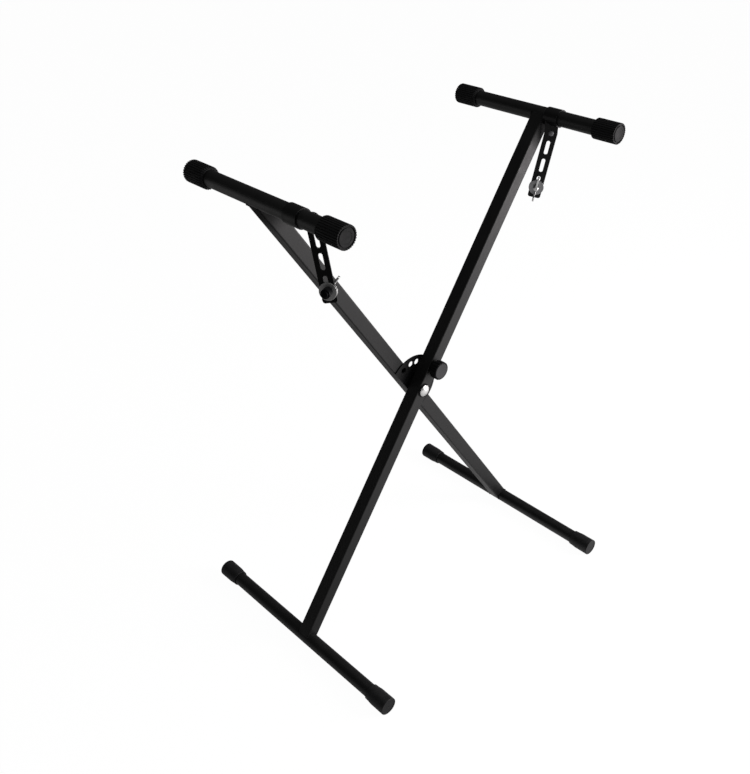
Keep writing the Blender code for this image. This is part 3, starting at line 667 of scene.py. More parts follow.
@cache
def edge_rub() -> NodeTree:
    """Where a piece's edges are paler, in broken patches: wear from handling, and a painted highlight along
    the edge.

    Returns:
        The group.
    """
    wiring, given, out = new_group(
        "edge_rub", {"Vector": None, "Reach": 0.0006, "Patches": 160.0, "Amount": 0.6}, ["Mask"])
    rounded = wiring.add("ShaderNodeBevel", {"Radius": given.outputs["Reach"]}, samples=4)
    surface = wiring.add("ShaderNodeNewGeometry")
    dot = wiring.add("ShaderNodeVectorMath", {0: rounded.outputs[0], 1: surface.outputs["Normal"]},
                     operation="DOT_PRODUCT")
    # Edges found by the bevel normal carry a painted highlight, together with wear from handling.
    edge = wiring.spread(dot.outputs["Value"], 0.995, 0.90, 0.0, 1.0)
    patches = wiring.noise(given.outputs["Vector"], given.outputs["Patches"], 3.0, 0.4)
    broken = wiring.math("MULTIPLY", edge, wiring.spread(patches, 0.42, 0.62, 0.0, 1.0))
    mask = wiring.math("MULTIPLY", broken, given.outputs["Amount"], clamp=True)
    wiring.tree.links.new(mask, out.inputs["Mask"])
    return wiring.tree


@cache
def scuffs() -> NodeTree:
    """Hairline scuffs in two directions, gathered in patches.

    Returns:
        The group.
    """
    wiring, given, out = new_group(
        "scuffs", {"Vector": None, "Size": 1.0, "Amount": 0.3}, ["Mask"])
    size = wiring.add("ShaderNodeVectorMath", {0: given.outputs["Vector"], "Scale": given.outputs["Size"]},
                      operation="SCALE").outputs[0]
    along = wiring.noise(wiring.stretched(size, (60.0, 2600.0, 300.0), (0.3, 0.5, 0.9)), 1.0, 1.0)
    across = wiring.noise(wiring.stretched(size, (1900.0, 260.0, 50.0), (0.9, 0.2, 0.4)), 1.0, 1.0)
    lines = wiring.math("MAXIMUM", wiring.spread(along, 0.70, 0.78, 0.0, 1.0),
                        wiring.spread(across, 0.71, 0.79, 0.0, 1.0))
    patch = wiring.spread(wiring.noise(size, 22.0, 3.0), 0.5, 0.68, 0.0, 1.0)
    mask = wiring.math("MULTIPLY", wiring.math("MULTIPLY", lines, patch), given.outputs["Amount"], clamp=True)
    wiring.tree.links.new(mask, out.inputs["Mask"])
    return wiring.tree


@cache
def settled_dust() -> NodeTree:
    """Dust that lies on what faces up, thicker in some places.

    Returns:
        The group.
    """
    wiring, given, out = new_group(
        "settled_dust", {"Vector": None, "Clouds": 30.0, "Amount": 0.15}, ["Mask"])
    surface = wiring.add("ShaderNodeNewGeometry")
    normal = wiring.add("ShaderNodeSeparateXYZ", {0: surface.outputs["Normal"]})
    upwards = wiring.spread(normal.outputs["Z"], 0.25, 1.0, 0.0, 1.0)
    clouds = wiring.noise(given.outputs["Vector"], given.outputs["Clouds"], 5.0, 0.3)
    specks = wiring.noise(given.outputs["Vector"], 2400.0, 1.0)
    lying = wiring.math("ADD", wiring.spread(clouds, 0.35, 0.75, 0.2, 0.8),
                        wiring.spread(specks, 0.62, 0.75, 0.0, 0.6))
    dusted = wiring.math("MULTIPLY", upwards, lying)
    mask = wiring.math("MULTIPLY", dusted, given.outputs["Amount"], clamp=True)
    wiring.tree.links.new(mask, out.inputs["Mask"])
    return wiring.tree


@cache
def lathe_marks() -> NodeTree:
    """Fine rings round a turned or pressed piece's own Z axis.

    Returns:
        The group.
    """
    wiring, given, out = new_group(
        "lathe_marks", {"Vector": None, "Rings": 2600.0, "Mottle": 400.0}, ["Height", "Tone"])
    parts = wiring.add("ShaderNodeSeparateXYZ", {0: given.outputs["Vector"]})
    squares = wiring.math("ADD", wiring.math("MULTIPLY", parts.outputs["X"], parts.outputs["X"]),
                          wiring.math("MULTIPLY", parts.outputs["Y"], parts.outputs["Y"]))
    radius = wiring.math("SQRT", squares)
    along = wiring.math("MULTIPLY", parts.outputs["Z"], 0.6)
    ring = wiring.add("ShaderNodeCombineXYZ", {"X": radius, "Y": along})
    marks = wiring.noise(ring.outputs[0], given.outputs["Rings"], 3.0)
    mottle = wiring.noise(given.outputs["Vector"], given.outputs["Mottle"], 3.0, 0.5)
    tone = wiring.math("ADD", wiring.math("MULTIPLY", marks, 0.6), wiring.math("MULTIPLY", mottle, 0.4))
    wiring.tree.links.new(marks, out.inputs["Height"])
    wiring.tree.links.new(tone, out.inputs["Tone"])
    return wiring.tree


@cache
def moulded_skin() -> NodeTree:
    """The eroded texture of a mould, with faint flow marks.

    Returns:
        The group.
    """
    wiring, given, out = new_group(
        "moulded_skin", {"Vector": None, "Grain": 2200.0, "Flow": 60.0}, ["Height", "Tone"])
    cells = wiring.add("ShaderNodeTexVoronoi", {
        "Vector": given.outputs["Vector"], "Scale": given.outputs["Grain"]})
    grain = wiring.noise(given.outputs["Vector"], given.outputs["Grain"], 2.0)
    height = wiring.math("ADD", wiring.math("MULTIPLY", cells.outputs["Distance"], 0.6), grain)
    flow = wiring.noise(given.outputs["Vector"], given.outputs["Flow"], 4.0, 1.2)
    wiring.tree.links.new(height, out.inputs["Height"])
    wiring.tree.links.new(flow, out.inputs["Tone"])
    return wiring.tree


def placed(wiring: Wiring, place: Matrix | None) -> NodeSocket:
    """Object coordinates, centred on a place and turned to its axes where one is given.

    Args:
        wiring: The material's wiring.
        place: The piece's own axes, or None for the frame's.

    Returns:
        The coordinates.
    """
    where = wiring.add("ShaderNodeTexCoord").outputs["Object"]
    if place is None:
        return where
    back = place.inverted()
    node = wiring.add("ShaderNodeMapping", {
        "Vector": where, "Location": back.to_translation(), "Rotation": back.to_euler()})
    return node.outputs[0]


def use(wiring: Wiring, group: NodeTree, inputs: dict[str, object]) -> Node:
    """Place a node group in a material, with its own values."""
    return wiring.add("ShaderNodeGroup", inputs, node_tree=group)


def new_look(name: str) -> tuple[Material, Wiring]:
    """An empty material and the wiring of its tree.

    Args:
        name: The material's name.

    Returns:
        The material and its wiring.
    """
    look = bpy.data.materials.new(name)
    look.use_nodes = True
    return look, Wiring(look.node_tree)


def finish_look(wiring: Wiring, inputs: dict[str, object]) -> None:
    """Add the shader, with its inputs, and wire it to the output."""
    shader = wiring.add("ShaderNodeBsdfPrincipled", inputs)
    wiring.add("ShaderNodeOutputMaterial", {"Surface": shader.outputs[0]})


@dataclass(frozen=True)
class BakedPaint:
    """Black paint baked on steel, with orange peel, edges paled by wear and by a painted highlight, scuffs
    and a little dust.
    """

    name: str = "baked_paint"
    colour: Colour = (0.0075, 0.0075, 0.0080)
    rubbed: Colour = (0.050, 0.051, 0.054)
    dust: Colour = (0.20, 0.19, 0.18)
    gloss: tuple[float, float] = (0.40, 0.52)
    specular: float = 0.5
    waves: float = 700.0
    bump: float = 0.10
    rub: float = 0.55
    reach: float = 0.6 * MM
    dusting: float = 0.05
    weld_at: tuple[float, float, float] | None = None
    weld_haze: tuple[float, float] = (26.0 * MM, 62.0 * MM)
    haze: float = 0.55

    @cache
    def look(self) -> Material:
        """The paint as a material.

        Returns:
            The material.
        """
        look, wiring = new_look(self.name)
        where = placed(wiring, None)
        peel = use(wiring, orange_peel(), {"Vector": where, "Waves": self.waves})
        rub = use(wiring, edge_rub(), {"Vector": where, "Reach": self.reach, "Amount": self.rub})
        scuff = use(wiring, scuffs(), {"Vector": where})
        dust = use(wiring, settled_dust(), {"Vector": where, "Amount": self.dusting})
        # Paler edges: wear from handling, and a painted highlight along the edges.
        worn_and_highlit = wiring.math("MAXIMUM", rub.outputs["Mask"], scuff.outputs["Mask"])
        paint = wiring.tint(worn_and_highlit, (*self.colour, 1.0), (*self.rubbed, 1.0))
        colour = wiring.tint(dust.outputs["Mask"], paint, (*self.dust, 1.0))
        smooth = wiring.spread(peel.outputs["Gloss"], 0.3, 0.7, self.gloss[0], self.gloss[1])
        rough = wiring.math("ADD", smooth, wiring.math("MULTIPLY", dust.outputs["Mask"], 1.5), clamp=True)
        if self.weld_at is not None:
            far = wiring.add("ShaderNodeVectorMath", {0: where, 1: self.weld_at}, operation="DISTANCE")
            haze = wiring.spread(far.outputs["Value"], *self.weld_haze, self.haze, 0.0)
            rough = wiring.math("ADD", rough, haze, clamp=True)
        bump = wiring.add("ShaderNodeBump", {
            "Strength": self.bump, "Distance": 0.2 * MM, "Height": peel.outputs["Height"]})
        finish_look(wiring, {"Base Color": colour, "Roughness": rough, "Specular IOR Level": self.specular,
                             "Normal": bump.outputs[0]})
        return look


@dataclass(frozen=True)
class Moulded:
    """A moulded plastic or rubber, with an eroded skin, flow marks, and edges paled by wear and by a painted
    highlight.
    """

    name: str = "moulded_plastic"
    colour: Colour = (0.011, 0.011, 0.012)
    paler: Colour = (0.018, 0.018, 0.020)
    dust: Colour = (0.17, 0.165, 0.16)
    gloss: tuple[float, float] = (0.48, 0.62)
    specular: float = 0.45
    grain: float = 2200.0
    bump: float = 0.18
    rub: float = 0.25
    reach: float = 0.5 * MM
    rub_gain: float = 4.0
    dusting: float = 0.08

    @cache
    def look(self) -> Material:
        """The plastic or rubber as a material.

        Returns:
            The material.
        """
        look, wiring = new_look(self.name)
        where = placed(wiring, None)
        skin = use(wiring, moulded_skin(), {"Vector": where, "Grain": self.grain})
        rub = use(wiring, edge_rub(), {"Vector": where, "Reach": self.reach, "Amount": self.rub})
        dust = use(wiring, settled_dust(), {"Vector": where, "Amount": self.dusting})
        flow = wiring.spread(skin.outputs["Tone"], 0.35, 0.65, 0.0, 1.0)
        plain = wiring.tint(flow, (*self.colour, 1.0), (*self.paler, 1.0))
        # Paler edges: wear from handling, and a painted highlight along the edges.
        worn_and_highlit = (*(self.rub_gain * part for part in self.paler), 1.0)
        rubbed = wiring.tint(rub.outputs["Mask"], plain, worn_and_highlit)
        colour = wiring.tint(dust.outputs["Mask"], rubbed, (*self.dust, 1.0))
        rough = wiring.spread(skin.outputs["Tone"], 0.3, 0.7, self.gloss[0], self.gloss[1])
        bump = wiring.add("ShaderNodeBump", {
            "Strength": self.bump, "Distance": 0.15 * MM, "Height": skin.outputs["Height"]})
        finish_look(wiring, {"Base Color": colour, "Roughness": rough, "Specular IOR Level": self.specular,
                             "Normal": bump.outputs[0]})
        return look


@dataclass(frozen=True)
class TurnedMetal:
    """Bare or plated metal with turning marks round its own axis and a mottled plating."""

    name: str = "bright_zinc"
    colour: Colour = (0.78, 0.79, 0.80)
    duller: Colour = (0.62, 0.61, 0.58)
    gloss: tuple[float, float] = (0.20, 0.34)
    rings: float = 2600.0
    bump: float = 0.05
    metallic: float = 1.0

    def look(self, label: str, place: Matrix) -> Material:
        """The metal as a material of one piece.

        Args:
            label: The piece, for the material's name.
            place: The piece's own axes, its Z along the axis that it was turned on.

        Returns:
            The material.
        """
        look, wiring = new_look(f"{self.name}_{label}")
        where = placed(wiring, place)
        marks = use(wiring, lathe_marks(), {"Vector": where, "Rings": self.rings})
        scuff = use(wiring, scuffs(), {"Vector": where, "Size": 2.0, "Amount": 0.5})
        tone = wiring.spread(marks.outputs["Tone"], 0.35, 0.65, 0.0, 1.0)
        colour = wiring.tint(tone, (*self.colour, 1.0), (*self.duller, 1.0))
        smooth = wiring.spread(marks.outputs["Tone"], 0.3, 0.7, self.gloss[0], self.gloss[1])
        rough = wiring.math("ADD", smooth, wiring.math("MULTIPLY", scuff.outputs["Mask"], 0.3), clamp=True)
        bump = wiring.add("ShaderNodeBump", {
            "Strength": self.bump, "Distance": 0.1 * MM, "Height": marks.outputs["Height"]})
        finish_look(wiring, {"Base Color": colour, "Roughness": rough, "Metallic": self.metallic,
                             "Normal": bump.outputs[0]})
        return look


TUBE_PAINT = BakedPaint()
WELD_PAINT = BakedPaint(name="weld_paint", gloss=(0.70, 0.85), specular=0.25, rub=0.2)
SHEET_PAINT = BakedPaint(name="sheet_paint", colour=(0.0060, 0.0060, 0.0066), gloss=(0.36, 0.48),
                         specular=0.32, waves=900.0, rub=0.75, reach=0.4 * MM)
# The collar's bright edge colour is mostly a painted highlight: the thin light line along its rims and its
# ear.
COLLAR_PAINT = replace(SHEET_PAINT, name="collar_paint", rubbed=(0.15, 0.155, 0.16), rub=0.95,
                       reach=0.7 * MM)
CAP_PLASTIC = Moulded(name="cap_plastic")
KNOB_PLASTIC = Moulded(name="knob_plastic", colour=(0.005, 0.005, 0.006), paler=(0.008, 0.008, 0.009),
                       gloss=(0.30, 0.40), specular=0.10, grain=3200.0, bump=0.08, dusting=0.02)
SLEEVE_RUBBER = Moulded(name="sleeve_rubber", colour=(0.008, 0.008, 0.009), paler=(0.012, 0.012, 0.013),
                        gloss=(0.62, 0.78), specular=0.35, grain=1600.0, bump=0.25, dusting=0.05)
DISC_PLASTIC = TurnedMetal(name="disc_plastic", colour=(0.046, 0.046, 0.049), duller=(0.034, 0.034, 0.037),
                           gloss=(0.38, 0.50), rings=1500.0, bump=0.10, metallic=0.0)
SPACER_NYLON = Moulded(name="spacer_nylon", colour=(0.70, 0.70, 0.66), paler=(0.76, 0.76, 0.73),
                       gloss=(0.40, 0.52), rub=0.0, dusting=0.03)
BRIGHT_ZINC = TurnedMetal()
DOME_ZINC = TurnedMetal(name="dome_zinc", colour=(0.95, 0.95, 0.94), duller=(0.86, 0.86, 0.85),
                        gloss=(0.34, 0.46))
WING_ZINC = TurnedMetal(name="wing_zinc", colour=(0.94, 0.94, 0.94), duller=(0.80, 0.80, 0.79),
                        gloss=(0.24, 0.36))
RIVET_STEEL = TurnedMetal(name="rivet_steel", colour=(0.27, 0.27, 0.28), duller=(0.20, 0.20, 0.21),
                          gloss=(0.60, 0.72), bump=0.10)
WASHER_ZINC = TurnedMetal(name="washer_zinc", colour=(0.88, 0.88, 0.88), duller=(0.70, 0.70, 0.69),
                          gloss=(0.34, 0.48), rings=2200.0, bump=0.12)
WASHER_STEEL = TurnedMetal(name="washer_steel", colour=(0.50, 0.50, 0.51), duller=(0.36, 0.36, 0.37),
                           gloss=(0.26, 0.42), rings=2200.0, bump=0.12)
PLAIN_STEEL = TurnedMetal(name="plain_steel", colour=(0.46, 0.46, 0.47), duller=(0.33, 0.33, 0.34),
                          gloss=(0.28, 0.42))


# Legs, feet and arms


@dataclass
class CrossedLeg:
    """One leg with its foot tube and arm tube, welded together."""

    node: str
    y: float
    foot: Side
    arm: Side
    lock_at: Vector
    lock_hole: float
    lock_depth: float
    width: float = 25.0 * MM
    wall: float = 1.5 * MM
    corner: float = 2.5 * MM
    corner_steps: int = 6
    fit: float = 0.3 * MM
    pivot_hole: float = 4.3 * MM
    tube_radius: float = 12.5 * MM
    tube_wall: float = 1.5 * MM
    bead: float = 1.3 * MM
    bead_step: float = 1.5 * MM
    bead_sweep: float = radians(80.0)
    bead_lean: float = radians(24.0)
    bead_shape: tuple[float, float] = (0.92, 0.74)

    def build(self) -> None:
        """Make the leg, its two round tubes and the weld beads between them."""
        look = TUBE_PAINT.look()
        hazed = replace(TUBE_PAINT, name=f"{self.node}_paint", weld_at=tuple(self.axis_of("arm"))).look()
        hand_over(self.square_tube(), self.node, hazed)
        for kind, side in (("foot", self.foot), ("arm", self.arm)):
            node = f"{side.word}_{kind}_tube"
            hand_over(self.round_tube(node), node, look)
            bead = self.weld(kind, side)
            hand_over(bead, self.node, WELD_PAINT.look(), stands_for=False)

    def axis_of(self, kind: str) -> Vector:
        """The middle of the foot or arm tube's axis, at the leg's own Y.

        Args:
            kind: Which tube: foot or arm.

        Returns:
            The place.
        """
        side = self.foot if kind == "foot" else self.arm
        place = middle(f"{side.word}_{kind}_tube")
        return Vector((place.x, self.y, place.z))

    def square_tube(self) -> Object:
        """A square tube with rounded corners, coped to the two round tubes.

        Returns:
            The tube.
        """
        foot, arm = self.axis_of("foot"), self.axis_of("arm")
        up = (arm - foot).normalized()
        across = Vector((0.0, 1.0, 0.0))
        place = axes_at((foot + arm) / 2, across.cross(up), across, up)
        tube = block(f"{self.node}_square_tube", (self.width, self.width, (arm - foot).length))
        with editing(tube, "EDGE"):
            choose_edges(tube, lambda _, way: abs(way.z) > 0.9)
            bpy.ops.mesh.bevel(offset=self.corner, segments=self.corner_steps, affect="EDGES")
        with editing(tube, "FACE"):
            choose_faces(tube, lambda _, normal: abs(normal.z) > 0.9)
            bpy.ops.mesh.delete(type="FACE")
        apply(tube, "SOLIDIFY", thickness=self.wall, offset=-1.0)
        settle(tube, place)
        for end in (foot, arm):
            combine(tube, stick(self.tube_radius + self.fit, self.width * 2, self.level(end), 128))
        combine(tube, stick(self.pivot_hole, self.width * 2, self.level(joint_at("fold"), self.y)))
        combine(tube, stick(self.lock_hole, self.lock_depth, self.level(self.lock_at)))
        return polish(tube)

    def level(self, at: Vector, y: float | None = None) -> Matrix:
        """A place whose Z runs along Y."""
        return away_from(at.y if y is None else y, at.x, at.z)

    def round_tube(self, node: str) -> Object:
        """A round tube along Y, open at its ends, which its caps cover.

        Args:
            node: The node that it stands for.

        Returns:
            The tube.
        """
        low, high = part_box(node)
        inner, outer = self.tube_radius - self.tube_wall, self.tube_radius
        length = high.y - low.y
        tube = lathe(f"{node}_drawn", [(outer, 0.0), (outer, length), (inner, length), (inner, 0.0)],
                     sides=128, ring_shaped=True)
        axis = middle(node)
        return polish(settle(tube, away_from(low.y, axis.x, axis.z)))

    def weld(self, kind: str, side: Side) -> Object:
        """Beads round the round tube, in the corners at the leg's two sides.

        The right collar turns close beside the front leg, so no bead is left there.

        Args:
            kind: Which tube: foot or arm.
            side: The side that the tube is on.

        Returns:
            The beads as one piece.
        """
        axis = self.axis_of(kind)
        other = self.axis_of("arm" if kind == "foot" else "foot")
        towards_leg = atan2(other.z - axis.z, other.x - axis.x)
        radius = self.tube_radius + 0.25 * self.bead
        sweep = self.bead_sweep
        drops = int(2 * sweep * radius / self.bead_step)
        bare_bench()
        bpy.ops.mesh.primitive_uv_sphere_add(segments=16, ring_count=10, radius=self.bead)
        drop = just_made("weld_drop")
        lumps = []
        for end in End:
            if side is Side.RIGHT and kind == "arm" and end is End.NEAR:
                continue
            for i in range(drops + 1):
                angle = towards_leg - sweep + 2 * sweep * i / drops
                swell = 1.0 + 0.10 * sin(i * 2.4) + 0.05 * sin(i * 5.1)
                place = Matrix.Translation((
                    axis.x + radius * cos(angle), self.y + end.value * self.width / 2,
                    axis.z + radius * sin(angle)))
                lean = Matrix.Rotation(-angle, 4, "Y") @ Matrix.Rotation(self.bead_lean, 4, "X")
                squash = Matrix.Diagonal((swell, *self.bead_shape, 1.0))
                lumps.append(copy_of(drop, "weld_drop_copy", place @ lean @ squash))
        bpy.data.objects.remove(drop, do_unlink=True)
        return melt(f"{side.word}_{kind}_weld", lumps, grain=0.30 * MM, rounds=3)


@dataclass
class FootCap:
    """A moulded cap on one end of a foot tube. It rests on the floor."""

    side: Side
    end: End
    length: float = 43.0 * MM
    bore: float = 12.8 * MM
    mouth: float = 14.5 * MM
    radius: float = 16.0 * MM
    mouth_edge: float = 0.6 * MM
    flare: float = 7.0 * MM
    wall: float = 4.0 * MM
    rounding: float = 1.2 * MM
    rim: float = 3.5 * MM
    recess: float = 0.6 * MM
    gate: float = 1.5 * MM

    def build(self) -> None:
        """Mould the cap and put it on its tube."""
        node = f"{self.side.word}_foot_cap_{self.end.word}"
        cap = lathe(f"{node}_moulded", self.outline(), sides=128)
        settle(cap, cap_place(node, self.end))
        hand_over(polish(cap), node, CAP_PLASTIC.look())

    def outline(self) -> list[Ring]:
        """The cap's outline from the floor of its bore, round the mouth, to the middle of its end.

        Returns:
            Radius and height of each ring, the mouth at height 0.
        """
        inside = self.length - self.wall
        edge = 0.3 * MM
        rings = [(0.5 * MM, inside), (self.bore, inside), (self.bore, edge), (self.bore + edge, 0.0)]
        rings += bow((self.mouth - self.mouth_edge, self.mouth_edge), self.mouth_edge, -pi / 2, 0.0, 3)
        rings += [(self.mouth + 0.35 * MM, self.flare), (self.radius - 0.2 * MM, 2 * self.flare)]
        corner = (self.radius - self.rounding, self.length - self.rounding)
        rings += bow(corner, self.rounding, 0.0, pi / 2)
        well = self.radius - self.rim
        rings += [(well + edge, self.length), (well, self.length - 0.5 * edge),
                  (well - self.recess, self.length - self.recess)]
        floor = self.length - self.recess
        rings += [(well - self.recess - edge, floor), (self.gate + edge, floor), (self.gate, floor - edge),
                  (0.4 * MM, floor - edge)]
        return rings


@dataclass
class ArmCap:
    """A ribbed rubber sleeve with a closed end on one end of an arm tube."""

    side: Side
    end: End
    length: float = 45.0 * MM
    bore: float = 12.8 * MM
    radius: float = 17.0 * MM
    shoulder: float = 2.5 * MM
    wall: float = 5.0 * MM
    rounding: float = 0.8 * MM
    rim: float = 2.5 * MM
    groove: float = 2.0 * MM
    groove_depth: float = 1.6 * MM
    boss: float = 8.0 * MM
    boss_height: float = 0.3 * MM
    ribs: int = 30
    columns: int = 6
    rib_depth: float = 1.1 * MM

    def build(self) -> None:
        """Mould the sleeve and put it on its tube."""
        node = f"{self.side.word}_arm_cap_{self.end.word}"
        cap = lathe(f"{node}_ribbed", self.outline(), sides=self.ribs * self.columns)
        self.cut_ribs(cap)
        settle(cap, cap_place(node, self.end))
        hand_over(polish(cap), node, SLEEVE_RUBBER.look())

    def outline(self) -> list[Ring]:
        """The sleeve's outline from the floor of its bore, round the mouth, to the middle of its end.

        Returns:
            Radius and height of each ring, the mouth at height 0.
        """
        inside, edge = self.length - self.wall, 0.25 * MM
        rings = [(0.5 * MM, inside), (self.bore, inside), (self.bore, edge), (self.bore + edge, 0.0)]
        low = self.radius - self.shoulder
        rings += [(low - edge, 0.0), (low, edge), (self.radius - 1.2 * edge, self.shoulder)]
        rings += [(self.radius, self.shoulder + edge)]
        corner = (self.radius - self.rounding, self.length - self.rounding)
        rings += bow(corner, self.rounding, 0.0, pi / 2, 4)
        outer = self.radius - self.rim
        inner = outer - self.groove
        deep = self.length - self.groove_depth
        rings += [(outer + edge, self.length), (outer, self.length - edge), (outer, deep + edge),
                  (outer - edge, deep), (inner + edge, deep), (inner, deep + edge),
                  (inner, self.length - edge), (inner - edge, self.length)]
        low_boss = self.length - self.boss_height
        rings += [(self.boss + 2 * edge, self.length), (self.boss + edge, low_boss), (self.boss, low_boss),
                  (0.4 * MM, low_boss)]
        return rings

    def cut_ribs(self, cap: Object) -> None:
        """Draw two columns of points in between ribs, from the shoulder to the end's edge.

        Args:
            cap: The turned sleeve, still standing on the origin.
        """
        sides = self.ribs * self.columns

        def in_valley(place: Vector) -> bool:
            """Say whether a point is on the outside, between two ribs."""
            column = round(atan2(place.y, place.x) / (2 * pi) * sides) % self.columns
            outside = hypot(place.x, place.y) > self.radius - self.rounding - 0.1 * MM
            return outside and place.z > self.shoulder - 0.1 * MM and column < 2

        with editing(cap):
            choose_points(cap, in_valley)
            scale = 1.0 - self.rib_depth / self.radius
            bpy.ops.transform.resize(value=(scale, scale, 1.0), center_override=(0.0, 0.0, 0.0))


# The pivot and the lock


@dataclass
class LockPlate:
    """The half-round plate on the rear leg, with the holes that set the stand's height."""

    node: str = "lock_plate"
    radius: float = 56.0 * MM
    thickness: float = 2.0 * MM
    hole: float = 5.25 * MM
    pivot_hole: float = 4.3 * MM
    hole_angles: tuple[float, ...] = (4.2, 28.2, 46.5, 68.98, 92.0)
    leg_width: float = 25.0 * MM
    edge: float = 0.35 * MM

    def __post_init__(self) -> None:
        """Find the pivot, the leg's heading and the lock's reach in the frame."""
        self.pivot = joint_at("fold")
        pin = middle("lock_pin")
        self.reach = hypot(pin.x - self.pivot.x, pin.z - self.pivot.z)
        up_leg = middle("left_arm_tube") - self.pivot
        self.heading = atan2(up_leg.z, up_leg.x)

    def hole_at(self, angle: float) -> Vector:
        """A hole's place in the plate's own plane, by its angle from the leg.

        Args:
            angle: Degrees from the leg.

        Returns:
            The place, at height 0.
        """
        toward = self.heading - radians(angle)
        return Vector((self.reach * cos(toward), self.reach * sin(toward), 0.0))

    def build(self) -> None:
        """Stamp the plate and put it on the rear leg's near side."""
        low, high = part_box(self.node)
        bare_bench()
        bpy.ops.mesh.primitive_cylinder_add(vertices=180, radius=self.radius, depth=self.thickness)
        plate = just_made(f"{self.node}_stamped")
        self.trim(plate)
        holes = [(Vector(), self.pivot_hole)]
        holes += [(self.hole_at(angle), self.hole) for angle in self.hole_angles]
        for at, radius in holes:
            combine(plate, stick(radius, self.thickness * 3, Matrix.Translation(at), 72))
        soften(plate, self.edge)
        upright = Matrix.Rotation(pi / 2, 4, "X")
        place = Matrix.Translation((self.pivot.x, (low.y + high.y) / 2, self.pivot.z)) @ upright
        hand_over(polish(settle(plate, place)), self.node, SHEET_PAINT.look())

    def trim(self, plate: Object) -> None:
        """Cut the round blank along the leg's lower edge, keeping the side with the holes.

        Args:
            plate: The round blank, with its middle on the origin.
        """
        across = self.heading + pi / 2
        beyond = Vector((cos(across), sin(across), 0.0))
        with editing(plate):
            bpy.ops.mesh.select_all(action="SELECT")
            bpy.ops.mesh.bisect(plane_co=beyond * self.leg_width / 2, plane_no=beyond,
                                use_fill=True, clear_outer=True)


@dataclass
class Pivot:
    """The bolt that the legs turn on, with its washers, spacer and nut."""

    shank: float = 4.0 * MM
    bore: float = 4.3 * MM
    head: float = 10.3 * MM
    head_height: float = 4.6 * MM
    head_edge: float = 0.8 * MM
    dome_steps: int = 12
    pitch: float = 1.25 * MM
    thread_depth: float = 0.45 * MM
    nut_flats: float = 13.0 * MM
    nut_collar: float = 2.5 * MM
    nut_chamfer: float = 0.9 * MM
    threaded: float = 14.0 * MM
    thread_tip: float = 0.6 * MM
    washer_edge: float = 0.3 * MM

    def build(self) -> None:
        """Turn the bolt and what is on it."""
        self.bolt()
        self.washer("pivot_head_washer", Slot.PLASTIC, KNOB_PLASTIC.look())
        self.washer("pivot_spacer", Slot.NYLON, SPACER_NYLON.look())
        zinc = BRIGHT_ZINC.look("pivot_washer", self.place("pivot_washer"))
        self.washer("pivot_washer", Slot.ZINC, zinc)
        self.nut()

    def place(self, node: str) -> Matrix:
        """A node's place: on the pivot's axis, from its nearest point."""
        return away_from(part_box(node)[0].y, 0.0, joint_at("fold").z)

    def bolt(self) -> None:
        """A domed head on the near side, a plain shank and a thread at its far end."""
        low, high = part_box("pivot_bolt")
        length = high.y - low.y
        rise = self.head_height - self.head_edge
        curve = (self.head ** 2 + rise ** 2) / (2 * rise)
        spread = asin(self.head / curve)
        angles = [spread * i / self.dome_steps for i in range(1, self.dome_steps + 1)]
        rings = [(0.3 * MM, 0.0)]
        rings += [(curve * sin(a), curve - curve * cos(a)) for a in angles]
        rings += [(self.head, self.head_height - 0.2 * MM), (self.head - 0.2 * MM, self.head_height),
                  (self.shank, self.head_height), (self.shank, length - self.threaded)]
        rings += thread(self.shank, length - self.threaded, length - self.thread_tip, self.pitch,
                        self.thread_depth)
        rings += [(self.shank - 0.9 * MM, length)]
        place = self.place("pivot_bolt")
        bolt = polish(settle(lathe("pivot_bolt_turned", rings), place))
        hand_over(bolt, "pivot_bolt", DOME_ZINC.look("pivot_bolt", place))

    def washer(self, node: str, slot: Slot, look: Material) -> None:
        """A flat ring with its edges broken.

        Args:
            node: The node that it stands for.
            slot: The record's material slot. It is not used.
            look: Its material.
        """
        low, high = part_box(node)
        outer, thickness = (high.x - low.x) / 2, high.y - low.y
        rings = [(self.bore, 0.0), (outer, 0.0), (outer, thickness), (self.bore, thickness)]
        ring = soften(lathe(f"{node}_pressed", rings, ring_shaped=True), self.washer_edge)
        hand_over(polish(settle(ring, self.place(node))), node, look)

    def nut(self) -> None:
        """A hexagon nut whose corners are turned off, with the round collar that grips the thread."""
        node = "pivot_nut"
        low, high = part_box(node)
        height = high.y - low.y
        hexagon = height - self.nut_collar
        corner = self.nut_flats / 2 / cos(pi / 6)
        bare_bench()
        bpy.ops.mesh.primitive_cylinder_add(vertices=6, radius=corner, depth=hexagon,
                                            location=(0.0, 0.0, hexagon / 2))
        nut = just_made(f"{node}_hexagon")
        flats = self.nut_flats / 2
        tip, wide, chamfer = flats - 0.2 * MM, corner + 0.1 * MM, self.nut_chamfer
        past = 0.01 * MM
        turned_off = [(0.5 * MM, -past), (tip, -past), (wide, chamfer), (wide, hexagon - chamfer),
                      (tip, hexagon + past), (0.5 * MM, hexagon + past)]
        combine(nut, lathe("nut_chamfer", turned_off), "INTERSECT")
        round_part = flats - 0.4 * MM
        collar = [(0.5 * MM, hexagon / 2), (round_part, hexagon / 2), (round_part, height - 0.8 * MM),
                  (flats - 0.9 * MM, height - 0.2 * MM), (flats - 1.6 * MM, height), (0.5 * MM, height)]
        combine(nut, lathe("nut_collar", collar), "UNION")
        combine(nut, stick(self.bore, height * 3, Matrix.Identity(4)))
        place = self.place(node)
        nut = polish(settle(nut, place), radians(25.0))
        hand_over(nut, node, BRIGHT_ZINC.look(node, place))


